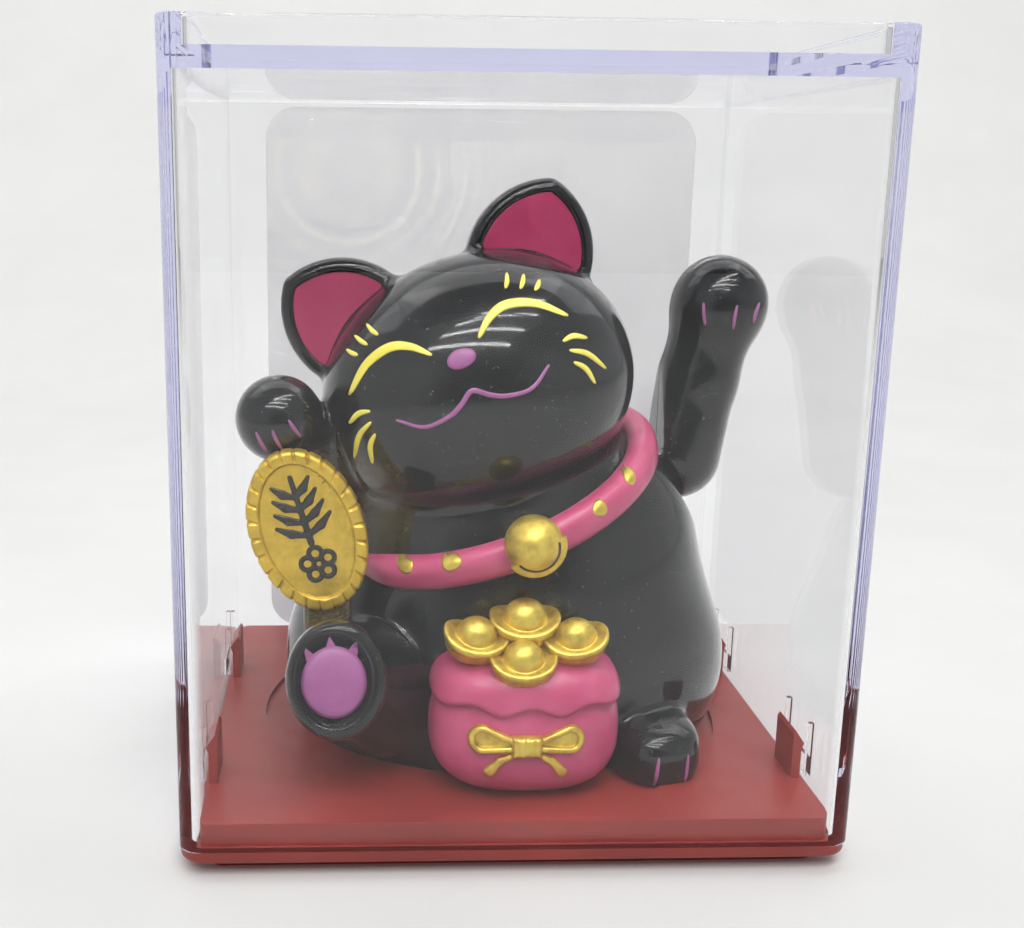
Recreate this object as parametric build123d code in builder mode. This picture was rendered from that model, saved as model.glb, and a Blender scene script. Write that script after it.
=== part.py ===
"""Boxed beckoning cat figurine: a black cat with a swinging arm, on a red display base
under a clear lift-off cover.

Millimetres. +Z is up, the cat faces -Y, and the origin is the centre of the underside of the base.
"""
from build123d import *
from math import cos, radians, sin
import os

os.makedirs("parts", exist_ok=True)

# ---- Case ---------------------------------------------------------------------------------
CASE_WIDTH = 100.0
CASE_DEPTH = 90.0
CASE_HEIGHT = 121.0
COVER_WALL = 2.0
COVER_TOP = 3.0
STACKING_RIM = 3.8
COVER_EDGE = 0.5
CASE_CORNER = 3.0
FIT = 0.5
STACKING_FIT = 0.5
GUIDE_RIB_DEPTH = 0.8
GUIDE_RIB_WIDTH = 1.0
GUIDE_RIB_HEIGHT = 8.8
GUIDE_RIB_GAP = 0.6
GUIDE_RIB_MIDDLE_Z = 13.2
CATCH_DEPTH = 0.55
CATCH_HEIGHT = 3.0
CATCH_LENGTH = 9.6
CATCH_MIDDLE_Z = 10.2
# Parts that belong to one moulding run this far into each other
OVERLAP = 0.2
LABEL_WIDTH = 85.0
LABEL_LOW = 7.0
LABEL_HIGH = 113.5
LABEL_THICKNESS = 0.15
LABEL_CORNER = 6.0
LABEL_CENTRE_X = 1.2

# ---- Base ---------------------------------------------------------------------------------
FOOT_HEIGHT = 2.0
FLANGE_TOP = 4.0
PLATFORM_TOP = 7.6
PLATFORM_CORNER = 2.0
FLANGE_EDGE = 0.8
BASE_SKIN = 1.8
BASE_RIB = 1.2
BASE_RIB_LOW = 0.6
BASE_RIB_SPACING_X = 66.0
BASE_RIB_SPACING_Y = 48.0
BASE_BOSS_RADIUS = 3.6
PLATFORM_WIDTH = CASE_WIDTH - 2 * COVER_WALL - 2 * FIT
PLATFORM_DEPTH = CASE_DEPTH - 2 * COVER_WALL - 2 * FIT
FOOT_WIDTH = CASE_WIDTH - 7.0
FOOT_DEPTH = CASE_DEPTH - 7.0
RECESS_RADIUS = 39.7
FLOOR = 6.8
CLIP_THICKNESS = 1.4
CLIP_LENGTH = 8.0
CLIP_HEIGHT = 8.0
CLIP_HOOK = 0.35
CLIP_FRONT_Y = -25.5
CLIP_REAR_Y = 18.0
CLIP_LEAD = 0.4
CLIP_SHOULDER_Z = PLATFORM_TOP + CLIP_HEIGHT - 3.0
CLIP_HOOK_Z = PLATFORM_TOP + CLIP_HEIGHT - 2.0
CLIP_FLAT = 0.5
CLIP_SETBACK = 0.6
CLIP_X = PLATFORM_WIDTH / 2 - CLIP_THICKNESS / 2 - CLIP_SETBACK

# ---- Screws -------------------------------------------------------------------------------
SHANK_RADIUS = 0.9
PILOT_RADIUS = SHANK_RADIUS + 0.05
BASE_HEAD_RADIUS = 2.4
SHELL_HEAD_RADIUS = 2.0
HEAD_HEIGHT = 1.5
CROSS_LENGTH = 2.6
CROSS_WIDTH = 0.6
CROSS_DEPTH = 0.7
SCREW_CLEARANCE_RADIUS = 1.4
SCREW_WELL_RADIUS = 2.7
SCREW_WELL_DEPTH = 3.2
BASE_SCREW_LENGTH = 9.0
BASE_SCREW_SEAT = BASE_RIB_LOW + SCREW_WELL_DEPTH
SCREW_HOLE_DEPTH = 8.0
SHELL_SCREW_LENGTH = 16.0
SHELL_SCREW_SEAT_Y = 12.0
SHELL_SCREW_WELL_RADIUS = 2.2
BEHIND = 40.0
SHELL_SCREW_REACH = 6.0
SHELL_SCREWS = [(-21.0, 26.0), (25.0, 26.0)]
SHELL_POSTS = [(-22.0, -9.0), (27.5, -7.0), (3.0, 22.0)]
FRAME_LEGS = [(-9.0, -8.0), (19.0, -8.0), (-9.0, 16.0), (19.0, 16.0)]
SCREW_SPOTS = SHELL_POSTS + FRAME_LEGS

# ---- Figure -------------------------------------------------------------------------------
SHELL = 2.0
SEAM_Y = 4.0
BOSS_RADIUS = 3.0
BOSS_HEIGHT = 10.0
BOSS_RIB = 1.6
BOSS_RIB_LENGTH = 16.0
FAR = 300.0
HEAD_ROLL = 21.0
HEAD_CENTRE = (-4.0, -8.0, 66.8)
HEAD_HALF_WIDTH = 26.0
HEAD_HALF_HEIGHT = 22.0
TORSO_AXIS_Y = -1.0
RIGHT_EAR = [(-8.0, 86.0), (5.2, 101.0), (15.5, 80.0)]
LEFT_EAR = [(-34.6, 88.8), (-16.5, 85.0), (-27.0, 66.0)]
EAR_REAR_Y = -1.5
EAR_DEPTH = 6.0
EAR_CORNER = 2.0
EAR_BEVEL = 1.2
# height, centre X, half width, half depth
TORSO_SECTIONS = [
    (FLOOR, 2.5, 33.5, 25.0),
    (12.0, 2.5, 37.5, 27.0),
    (20.0, 2.5, 38.5, 27.5),
    (32.0, 2.8, 35.8, 26.5),
    (46.0, 3.0, 31.0, 24.0),
    (57.0, 3.0, 24.6, 19.5),
    (66.0, 1.0, 17.0, 14.0),
]
COLLAR_CENTRE = (1.5, -4.0, 50.0)
COLLAR_RADIUS = 24.2
COLLAR_THICKNESS = 2.9
COLLAR_DIP = 10.0
BELL_CENTRE = (2.3, -31.5, 46.6)
BELL_RADIUS = 5.0
RAISED_PAW_CENTRE = (-36.0, -16.0, 63.3)
RAISED_PAW_RADIUS = 6.9
RAISED_ARM_END = (-22.0, -6.0, 50.0)
WRIST_RADIUS = 6.0
ELBOW_RADIUS = 8.0
COIN_CENTRE = (-31.4, -24.0, 47.3)
COIN_HALF_WIDTH = 9.3
COIN_HALF_HEIGHT = 12.5
COIN_THICKNESS = 3.6
COIN_TILT = 11.0
COIN_RIM = 2.2
COIN_SUNK = 0.6
COIN_LINK = (7.5, 6.0, 6.0)
COIN_LINK_CENTRE = (-28.4, -21.5, 34.8)
SOLE_CENTRE = (-27.0, -37.5, 27.2)
SOLE_HALF_WIDTH = 8.0
SOLE_HALF_HEIGHT = 9.6
SOLE_THICKNESS = 6.0
SOLE_EDGE = 1.4
LEG_START = (-16.0, -14.0, 21.0)
LEG_END = (SOLE_CENTRE[0], SOLE_CENTRE[1] + 4.0, SOLE_CENTRE[2])
THIGH_RADIUS = 13.0
ANKLE_RADIUS = 8.4
FOOT_CENTRE = (25.5, -21.0)
FOOT_HALF_WIDTH = 6.6
FOOT_LENGTH = 20.0
FOOT_HEIGHT_ABOVE_FLOOR = 4.6
BAG_CENTRE_X = 1.4
BAG_CENTRE_Y = -26.0
# height, half width, half depth
BAG_SECTIONS = [
    (FLOOR, 11.5, 4.5),
    (11.0, 14.4, 9.0),
    (18.0, 15.0, 10.2),
    (24.0, 14.0, 9.4),
    (29.0, 12.5, 7.5),
]
# centre X, centre Y, height, dome radius
INGOTS = [
    (-6.2, -31.0, 31.4, 2.9),
    (1.6, -30.0, 34.0, 3.4),
    (9.4, -31.0, 31.2, 2.9),
    (1.2, -33.0, 28.8, 2.7),
]
INGOT_WIDTH_RATIO = 2.6
INGOT_DEPTH = 6.0
INGOT_HEIGHT = 3.4
INGOT_BODY_BACK = 1.5
INGOT_BODY_DROP = 1.8

# ---- Swinging arm -------------------------------------------------------------------------
AXLE_Y = SEAM_Y
AXLE_Z = 53.0
AXLE_RADIUS = 1.0
RUNNING_CLEARANCE = 0.05
ARM_INNER_X = 29.0
SHOULDER_FACE_X = ARM_INNER_X - 0.7
SHOULDER_RECESS_RADIUS = 12.5
SHOULDER_HOLE_RADIUS = AXLE_RADIUS + 0.8
ARM_WALL = 1.4
ARM_CUT = (30.0, 60.0, 90.0)
AXLE_END = ARM_INNER_X + 6.5
ARM_PAW_CENTRE = (38.9, AXLE_Y, 79.8)
ARM_PAW_RADIUS = 8.2
# height, centre X, half width, half depth
ARM_SECTIONS = [
    (44.8, 34.6, 2.0, 3.4),
    (48.0, 34.5, 4.4, 7.2),
    (53.0, 34.6, 5.2, 8.6),
    (58.0, 34.9, 5.8, 8.4),
    (64.0, 35.6, 6.5, 7.7),
    (70.0, 36.6, 6.7, 7.1),
    (77.0, 38.2, 6.9, 6.9),
]

# ---- Mechanism ----------------------------------------------------------------------------
FRAME_PLATE_Z = 16.0
FRAME_PLATE_THICKNESS = 1.8
FRAME_CENTRE_X = 5.0
FRAME_LENGTH = 36.0
FRAME_WIDTH = 28.0
POST_THICKNESS = 3.0
POST_WIDTH = 9.0
POST_X = (-6.0, 18.0)
BUSH_RADIUS = 2.4
LEG_RADIUS = 2.4
FRAME_CORNER = 2.0
AXLE_START = POST_X[0] - POST_THICKNESS / 2 - 1.6
STOP_RADIUS = 2.2
STOP_LENGTH = 1.4
STOP_GAP = 0.2
LEVER_X = 6.0
LEVER_THICKNESS = 4.0
LEVER_LENGTH = 28.5
LEVER_WIDTH = 5.0
LEVER_HUB_RADIUS = 3.6
MAGNET_CUP_RADIUS = 4.8
MAGNET_CUP_HEIGHT = 1.6
RIVET_RADIUS = 1.5
MAGNET_RADIUS = 4.0
MAGNET_THICKNESS = 3.0
WEIGHT_RADIUS = 4.5
WEIGHT_THICKNESS = 9.0
WEIGHT_DROP = 19.0
BOBBIN_RADIUS = 7.0
BOBBIN_HEIGHT = 4.2
BOBBIN_FLANGE = 0.7
BOBBIN_CORE_RADIUS = 2.6
WINDING_RADIUS = 6.5
BOARD_WIDTH = 22.0
BOARD_HEIGHT = 16.0
BOARD_THICKNESS = 1.2
BOARD_INSET = 2.4
TRANSISTOR_RADIUS = 2.2
TRANSISTOR_HEIGHT = 4.5
TRANSISTOR_STANDOFF = 1.5
TRANSISTOR_FLAT_AT = 1.5
CAPACITOR_RADIUS = 2.5
CAPACITOR_LENGTH = 6.5
CAPACITOR_EDGE = 0.4
COMPONENT_SPACING = 5.0

# ---- Battery bay --------------------------------------------------------------------------
CELL_RADIUS = 5.25
CELL_LENGTH = 44.5
CELL_CENTRE = (3.0, AXLE_Y, 8.0)
BAY_LENGTH = 52.0
BAY_WIDTH = 14.0
BAY_TOP = 14.6
BAY_WALL = 1.2
BAY_FRAME = 2.0
BAY_CORNER = 1.0
BAY_LOW = 1.8
CELL_BUTTON_RADIUS = 1.9
CELL_BUTTON_LENGTH = 1.0
CONTACT_SIZE = 9.0
CONTACT_THICKNESS = 0.4
SPRING_TURNS = 3
SPRING_OUTER = 4.0
SPRING_INNER = 2.2
SPRING_OUTER_STEP = 0.7
SPRING_INNER_STEP = 0.4
DOOR_THICKNESS = 1.2
DOOR_LOW = 0.5
DOOR_GAP = 0.4
DOOR_CORNER = 0.6
DOOR_GRIP = (8.0, 2.0)
DOOR_GRIP_DEPTH = 0.5
DOOR_GRIP_FROM_END = 5.0
SWITCH_CENTRE = (3.0, -16.0)
SWITCH_TRAVEL = 3.0
SWITCH_BODY = (10.0, 5.0)
SWITCH_BODY_LOW = 1.6
SWITCH_BODY_HEIGHT = 4.0
SWITCH_SLOT = (7.2, 2.6)
SWITCH_SLOT_DEPTH = 1.4
SWITCH_SEAT_WALL = 2.0
SWITCH_SEAT_GAP = 0.4
KNOB = (3.4, 2.2)
KNOB_LOW = 0.5
KNOB_HEIGHT = 2.3


def save(part, name):
    """Label a finished sub-part and write it as a STEP file."""
    part.label = name
    export_step(part, f"parts/{name}.step")


def rolled_plane(centre, roll):
    """A plane facing forward (-Y), rolled about that direction."""
    return Plane(origin=centre, x_dir=(cos(radians(roll)), 0, sin(radians(roll))), z_dir=(0, -1, 0))


def half(solid, front):
    """The part of a solid in front of the seam, or the part behind it."""
    removed_side = Align.MIN if front else Align.MAX
    with BuildPart() as body:
        add(solid)
        with Locations((0, SEAM_Y, 0)):
            Box(FAR, FAR, FAR, align=(Align.CENTER, removed_side, Align.CENTER), mode=Mode.SUBTRACT)
    return body.part


def elliptic_loft(sections, centre_y, thinner):
    """A solid lofted through ellipses, each given as height, centre X, half width, half depth."""
    with BuildPart() as body:
        for height, centre_x, half_width, half_depth in sections:
            with BuildSketch(Plane.XY.offset(height)):
                with Locations((centre_x, centre_y)):
                    Ellipse(half_width - thinner, half_depth - thinner)
        loft()
    return body.part


def spheroid(plane, half_length, radius):
    """An ellipse revolved about the X direction of its plane."""
    with BuildPart() as body:
        with BuildSketch(plane):
            with BuildLine():
                EllipticalCenterArc((0, 0), half_length, radius, start_angle=0, arc_size=180)
                Line((-half_length, 0), (half_length, 0))
            make_face()
        revolve(axis=Axis(plane.origin, plane.x_dir))
    return body.part


def round_bar(start, end, start_radius, end_radius):
    """A round tapering bar between two points."""
    direction = Vector(*end) - Vector(*start)
    with BuildPart() as bar:
        with BuildSketch(Plane(origin=start, z_dir=direction)):
            Circle(start_radius)
        with BuildSketch(Plane(origin=end, z_dir=direction)):
            Circle(end_radius)
        loft()
    return bar.part


# ============================================================================================
# Red display base
# ============================================================================================
clip_inner = CLIP_X - CLIP_THICKNESS / 2
clip_outer = CLIP_X + CLIP_THICKNESS / 2
rib_height = FLOOR - BASE_SKIN - BASE_RIB_LOW + OVERLAP
with BuildPart() as display_base:
    with BuildSketch():
        RectangleRounded(FOOT_WIDTH, FOOT_DEPTH, CASE_CORNER)
    extrude(amount=FOOT_HEIGHT)
    with BuildSketch(Plane.XY.offset(FOOT_HEIGHT)):
        RectangleRounded(CASE_WIDTH, CASE_DEPTH, CASE_CORNER + 1)
    flange = extrude(amount=FLANGE_TOP - FOOT_HEIGHT)
    fillet(flange.edges().filter_by(Plane.XY).group_by(Axis.Z)[0], FLANGE_EDGE)
    with BuildSketch(Plane.XY.offset(FLANGE_TOP)):
        RectangleRounded(PLATFORM_WIDTH, PLATFORM_DEPTH, PLATFORM_CORNER)
    extrude(amount=PLATFORM_TOP - FLANGE_TOP)
    # Round recess that the cat stands in
    with BuildSketch(Plane.XY.offset(FLOOR)):
        Circle(RECESS_RADIUS)
    extrude(amount=PLATFORM_TOP - FLOOR, mode=Mode.SUBTRACT)
    # Hollow underside
    with BuildSketch():
        RectangleRounded(FOOT_WIDTH - 2 * BASE_SKIN, FOOT_DEPTH - 2 * BASE_SKIN, PLATFORM_CORNER)
    extrude(amount=FLOOR - BASE_SKIN, mode=Mode.SUBTRACT)
    # Ribs, screw bosses, the battery bay's frame and the switch seat
    with BuildSketch(Plane.XY.offset(BASE_RIB_LOW)):
        with GridLocations(0, BASE_RIB_SPACING_Y, 1, 2):
            Rectangle(FOOT_WIDTH - BASE_SKIN, BASE_RIB)
        with GridLocations(BASE_RIB_SPACING_X, 0, 2, 1):
            Rectangle(BASE_RIB, FOOT_DEPTH - BASE_SKIN)
        with Locations(*SCREW_SPOTS):
            Circle(BASE_BOSS_RADIUS)
        with Locations(CELL_CENTRE[:2]):
            Rectangle(BAY_LENGTH + 2 * BAY_FRAME, BAY_WIDTH + 2 * BAY_FRAME)
        with Locations(SWITCH_CENTRE):
            Rectangle(SWITCH_BODY[0] + 2 * SWITCH_SEAT_WALL, SWITCH_BODY[1] + 2 * SWITCH_SEAT_WALL)
    extrude(amount=rib_height)
    with BuildSketch():
        with Locations(CELL_CENTRE[:2]):
            Rectangle(BAY_LENGTH + 2 * FIT, BAY_WIDTH + 2 * FIT)
        with Locations(SWITCH_CENTRE):
            Rectangle(SWITCH_BODY[0] + SWITCH_SEAT_GAP, SWITCH_BODY[1] + SWITCH_SEAT_GAP)
    extrude(amount=PLATFORM_TOP, mode=Mode.SUBTRACT)
    with BuildSketch():
        with Locations(*SCREW_SPOTS):
            Circle(SCREW_CLEARANCE_RADIUS)
    extrude(amount=PLATFORM_TOP, mode=Mode.SUBTRACT)
    with BuildSketch():
        with Locations(*SCREW_SPOTS):
            Circle(SCREW_WELL_RADIUS)
    extrude(amount=BASE_SCREW_SEAT, mode=Mode.SUBTRACT)
    # Upstanding snap clips beside the side walls
    for side in (-1, 1):
        for clip_y in (CLIP_FRONT_Y, CLIP_REAR_Y):
            with BuildSketch(Plane.XZ.offset(-clip_y - CLIP_LENGTH / 2)):
                with BuildLine():
                    Polyline(
                        (side * clip_inner, PLATFORM_TOP - OVERLAP),
                        (side * clip_outer, PLATFORM_TOP - OVERLAP),
                        (side * clip_outer, CLIP_SHOULDER_Z),
                        (side * (clip_outer + CLIP_HOOK), CLIP_HOOK_Z),
                        (side * (clip_inner + CLIP_LEAD), PLATFORM_TOP + CLIP_HEIGHT),
                        (side * clip_inner, PLATFORM_TOP + CLIP_HEIGHT - CLIP_FLAT),
                        close=True,
                    )
                make_face()
            extrude(amount=CLIP_LENGTH)
save(display_base.part, "display_base")

# ============================================================================================
# Battery bay, cell and contacts, in the base under the cat
# ============================================================================================
with BuildPart() as battery_holder:
    with BuildSketch(Plane.XY.offset(BAY_LOW)):
        with Locations(CELL_CENTRE[:2]):
            RectangleRounded(BAY_LENGTH, BAY_WIDTH, BAY_CORNER)
    extrude(amount=BAY_TOP - BAY_LOW)
    with BuildSketch(Plane.XY.offset(BAY_LOW)):
        with Locations(CELL_CENTRE[:2]):
            Rectangle(BAY_LENGTH - 2 * BAY_WALL, BAY_WIDTH - 2 * BAY_WALL)
    extrude(amount=BAY_TOP - BAY_WALL - BAY_LOW, mode=Mode.SUBTRACT)
save(battery_holder.part, "battery_holder")

with BuildPart() as battery_cell:
    with BuildSketch(Plane.YZ.offset(CELL_CENTRE[0] - CELL_LENGTH / 2)):
        with Locations(CELL_CENTRE[1:]):
            Circle(CELL_RADIUS)
    extrude(amount=CELL_LENGTH - CELL_BUTTON_LENGTH)
    with BuildSketch(Plane.YZ.offset(CELL_CENTRE[0] + CELL_LENGTH / 2 - CELL_BUTTON_LENGTH)):
        with Locations(CELL_CENTRE[1:]):
            Circle(CELL_BUTTON_RADIUS)
    extrude(amount=CELL_BUTTON_LENGTH)
save(battery_cell.part, "battery_cell")

bay_end = BAY_LENGTH / 2 - BAY_WALL
with BuildPart() as contact_plate:
    with BuildSketch(Plane.YZ.offset(CELL_CENTRE[0] + bay_end - CONTACT_THICKNESS)):
        with Locations(CELL_CENTRE[1:]):
            RectangleRounded(CONTACT_SIZE, CONTACT_SIZE, BAY_CORNER)
    extrude(amount=CONTACT_THICKNESS)
save(contact_plate.part, "contact_plate")

spring_start = CELL_CENTRE[0] - bay_end + CONTACT_THICKNESS
turn_length = (bay_end - CELL_LENGTH / 2 - CONTACT_THICKNESS) / SPRING_TURNS
with BuildPart() as contact_spring:
    with BuildSketch(Plane.YZ.offset(CELL_CENTRE[0] - bay_end)):
        with Locations(CELL_CENTRE[1:]):
            RectangleRounded(CONTACT_SIZE, CONTACT_SIZE, BAY_CORNER)
    extrude(amount=CONTACT_THICKNESS)
    for turn in range(SPRING_TURNS):
        with BuildSketch(Plane.YZ.offset(spring_start + turn * turn_length)):
            with Locations(CELL_CENTRE[1:]):
                Circle(SPRING_OUTER - SPRING_OUTER_STEP * turn)
                Circle(SPRING_INNER - SPRING_INNER_STEP * turn, mode=Mode.SUBTRACT)
        extrude(amount=turn_length)
save(contact_spring.part, "contact_spring")

# The door closes the bay from below and slides straight down and out
with BuildPart() as battery_door:
    with BuildSketch(Plane.XY.offset(DOOR_LOW)):
        with Locations(CELL_CENTRE[:2]):
            RectangleRounded(BAY_LENGTH + 2 * FIT - DOOR_GAP, BAY_WIDTH + 2 * FIT - DOOR_GAP, DOOR_CORNER)
    extrude(amount=DOOR_THICKNESS)
    with BuildSketch(Plane.XY.offset(DOOR_LOW)):
        with Locations((CELL_CENTRE[0] + BAY_LENGTH / 2 - DOOR_GRIP_FROM_END, CELL_CENTRE[1])):
            SlotOverall(*DOOR_GRIP, rotation=90)
    extrude(amount=DOOR_GRIP_DEPTH, mode=Mode.SUBTRACT)
save(battery_door.part, "battery_door")

# Slide switch in the underside
with BuildPart() as switch_body:
    with BuildSketch(Plane.XY.offset(SWITCH_BODY_LOW)):
        with Locations(SWITCH_CENTRE):
            Rectangle(*SWITCH_BODY)
    extrude(amount=SWITCH_BODY_HEIGHT)
    with BuildSketch(Plane.XY.offset(SWITCH_BODY_LOW)):
        with Locations(SWITCH_CENTRE):
            Rectangle(*SWITCH_SLOT)
    extrude(amount=SWITCH_SLOT_DEPTH, mode=Mode.SUBTRACT)
save(switch_body.part, "switch_body")

with BuildPart() as switch_knob:
    with BuildSketch(Plane.XY.offset(KNOB_LOW)):
        with Locations((SWITCH_CENTRE[0] - SWITCH_TRAVEL / 2, SWITCH_CENTRE[1])):
            Rectangle(*KNOB)
    extrude(amount=KNOB_HEIGHT)
save(switch_knob.part, "switch_knob")

# ============================================================================================
# Cat: outer form and hollow, then front and rear shells
# ============================================================================================
head_plane = rolled_plane(HEAD_CENTRE, HEAD_ROLL)


def ear(points):
    """A cat's ear: a rounded flat triangle standing on the head."""
    with BuildPart() as body:
        with BuildSketch(Plane.XZ.offset(-EAR_REAR_Y)):
            with BuildLine():
                Polyline(*points, close=True)
            make_face()
            fillet(vertices(), EAR_CORNER)
        extrude(amount=EAR_DEPTH)
        chamfer(body.faces().sort_by(Axis.Y)[0].edges(), EAR_BEVEL)
    return body.part


def limbs():
    """Raised paw with its arm, left leg and sole, right foot."""
    sole_plane = Plane(origin=SOLE_CENTRE, x_dir=(1, 0, 0), z_dir=(0, -1, 0))
    foot_origin = (*FOOT_CENTRE, FLOOR + FOOT_HEIGHT_ABOVE_FLOOR)
    foot_plane = Plane(origin=foot_origin, x_dir=(0, 1, 0), z_dir=(1, 0, 0))
    with BuildPart() as paw:
        with Locations(RAISED_PAW_CENTRE):
            Sphere(RAISED_PAW_RADIUS)
    pieces = [
        paw.part,
        round_bar(RAISED_PAW_CENTRE, RAISED_ARM_END, WRIST_RADIUS, ELBOW_RADIUS),
        round_bar(LEG_START, LEG_END, THIGH_RADIUS, ANKLE_RADIUS),
        spheroid(foot_plane, FOOT_LENGTH / 2, FOOT_HALF_WIDTH),
    ]
    with BuildPart() as sole:
        with BuildSketch(sole_plane):
            Ellipse(SOLE_HALF_WIDTH, SOLE_HALF_HEIGHT)
        extrude(amount=-SOLE_THICKNESS)
        fillet(sole.faces().sort_by(Axis.Y)[0].edges(), SOLE_EDGE)
    pieces.append(sole.part)
    return pieces


def coin():
    """Oval coin, tilted, with a raised rim and a link down to the leg."""
    coin_plane = rolled_plane(COIN_CENTRE, COIN_TILT)
    with BuildPart() as body:
        with BuildSketch(coin_plane):
            Ellipse(COIN_HALF_WIDTH, COIN_HALF_HEIGHT)
        extrude(amount=COIN_THICKNESS / 2, both=True)
        with BuildSketch(coin_plane.offset(COIN_THICKNESS / 2)):
            Ellipse(COIN_HALF_WIDTH - COIN_RIM, COIN_HALF_HEIGHT - COIN_RIM)
        extrude(amount=-COIN_SUNK, mode=Mode.SUBTRACT)
        with Locations(COIN_LINK_CENTRE):
            Box(*COIN_LINK)
    return body.part


def bag():
    """Pouch with four ingots piled on it."""
    with BuildPart() as body:
        for height, half_width, half_depth in BAG_SECTIONS:
            with BuildSketch(Plane.XY.offset(height)):
                with Locations((BAG_CENTRE_X, BAG_CENTRE_Y)):
                    Ellipse(half_width, half_depth)
        loft()
        for x, y, z, dome in INGOTS:
            with Locations((x, y, z)):
                Sphere(dome)
            with Locations((x, y + INGOT_BODY_BACK, z - INGOT_BODY_DROP)):
                Box(INGOT_WIDTH_RATIO * dome, INGOT_DEPTH, INGOT_HEIGHT)
    return body.part


def collar():
    """Band round the neck, rolled with the head and dipping at the front."""
    roll = radians(HEAD_ROLL)
    dip = radians(COLLAR_DIP)
    across = Vector(cos(roll), 0, sin(roll))
    forward = Vector(0, -cos(dip), -sin(dip))
    with BuildPart() as body:
        with Locations(Plane(origin=COLLAR_CENTRE, x_dir=across, z_dir=across.cross(forward) * -1)):
            Torus(COLLAR_RADIUS, COLLAR_THICKNESS)
    return body.part


with BuildPart() as figure:
    add(elliptic_loft(TORSO_SECTIONS, TORSO_AXIS_Y, 0))
    add(spheroid(head_plane, HEAD_HALF_WIDTH, HEAD_HALF_HEIGHT))
    add(ear(RIGHT_EAR))
    add(ear(LEFT_EAR))
    for limb in limbs():
        add(limb)
    add(coin())
    add(bag())
    add(collar())
    with Locations(BELL_CENTRE):
        Sphere(BELL_RADIUS)
    # Flat-bottomed recess that the swinging arm turns in
    with BuildSketch(Plane.YZ.offset(SHOULDER_FACE_X)):
        with Locations((AXLE_Y, AXLE_Z)):
            Circle(SHOULDER_RECESS_RADIUS)
    extrude(amount=FAR, mode=Mode.SUBTRACT)
    # Nothing hangs below the floor of the base's recess
    with Locations((0, 0, FLOOR)):
        Box(FAR, FAR, FAR, align=(Align.CENTER, Align.CENTER, Align.MAX), mode=Mode.SUBTRACT)

# Space inside the figure, kept back from the wall behind the shoulder
with BuildPart() as hollow:
    open_foot = (FLOOR - OVERLAP, *TORSO_SECTIONS[0][1:])
    add(elliptic_loft([open_foot] + TORSO_SECTIONS[1:], TORSO_AXIS_Y, SHELL))
    head_offset = HEAD_HALF_WIDTH - HEAD_HALF_HEIGHT
    with Locations(head_plane):
        with Locations((-head_offset, 0, 0), (head_offset, 0, 0)):
            Sphere(HEAD_HALF_HEIGHT - SHELL)
    with BuildSketch(Plane.YZ.offset(SHOULDER_FACE_X - SHELL)):
        with Locations((AXLE_Y, AXLE_Z)):
            Circle(SHOULDER_RECESS_RADIUS + SHELL)
    extrude(amount=FAR, mode=Mode.SUBTRACT)


def bosses():
    """Posts that the shells' own screws and the base's screws run into."""
    with BuildPart() as posts:
        for x, z in SHELL_SCREWS:
            with BuildSketch(Plane.XZ.offset(-BEHIND)):
                with Locations((x, z)):
                    Circle(BOSS_RADIUS)
            extrude(amount=2 * BEHIND)
        for x, y in SHELL_POSTS:
            with BuildSketch(Plane.XY.offset(FLOOR)):
                with Locations((x, y)):
                    Circle(BOSS_RADIUS)
            extrude(amount=BOSS_HEIGHT)
            outward = BOSS_RIB_LENGTH / 2 if y > 0 else -BOSS_RIB_LENGTH / 2
            with Locations((x, y + outward, FLOOR + BOSS_HEIGHT / 2)):
                Box(BOSS_RIB, BOSS_RIB_LENGTH, BOSS_HEIGHT)
    return posts.part & figure.part


boss_posts = bosses()
with BuildPart() as shell:
    add(figure)
    add(hollow, mode=Mode.SUBTRACT)
    add(boss_posts)
    # Hole that the arm's axle passes through without touching
    with BuildSketch(Plane.YZ):
        with Locations((AXLE_Y, AXLE_Z)):
            Circle(SHOULDER_HOLE_RADIUS)
    extrude(amount=FAR, mode=Mode.SUBTRACT)
    # Screw holes: from behind into the front posts, and from below
    with BuildSketch(Plane.XZ.offset(-BEHIND)):
        with Locations(*SHELL_SCREWS):
            Circle(PILOT_RADIUS)
    extrude(amount=BEHIND + SHELL_SCREW_REACH, mode=Mode.SUBTRACT)
    with BuildSketch(Plane.XZ.offset(-BEHIND)):
        with Locations(*SHELL_SCREWS):
            Circle(SHELL_SCREW_WELL_RADIUS)
    extrude(amount=BEHIND - SHELL_SCREW_SEAT_Y, mode=Mode.SUBTRACT)
    with BuildSketch(Plane.XY.offset(FLOOR)):
        with Locations(*SHELL_POSTS):
            Circle(PILOT_RADIUS)
    extrude(amount=SCREW_HOLE_DEPTH, mode=Mode.SUBTRACT)
with BuildPart() as cat_front_shell:
    add(half(shell, front=True))
save(cat_front_shell.part, "cat_front_shell")
with BuildPart() as cat_rear_shell:
    add(half(shell, front=False))
save(cat_rear_shell.part, "cat_rear_shell")

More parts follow.
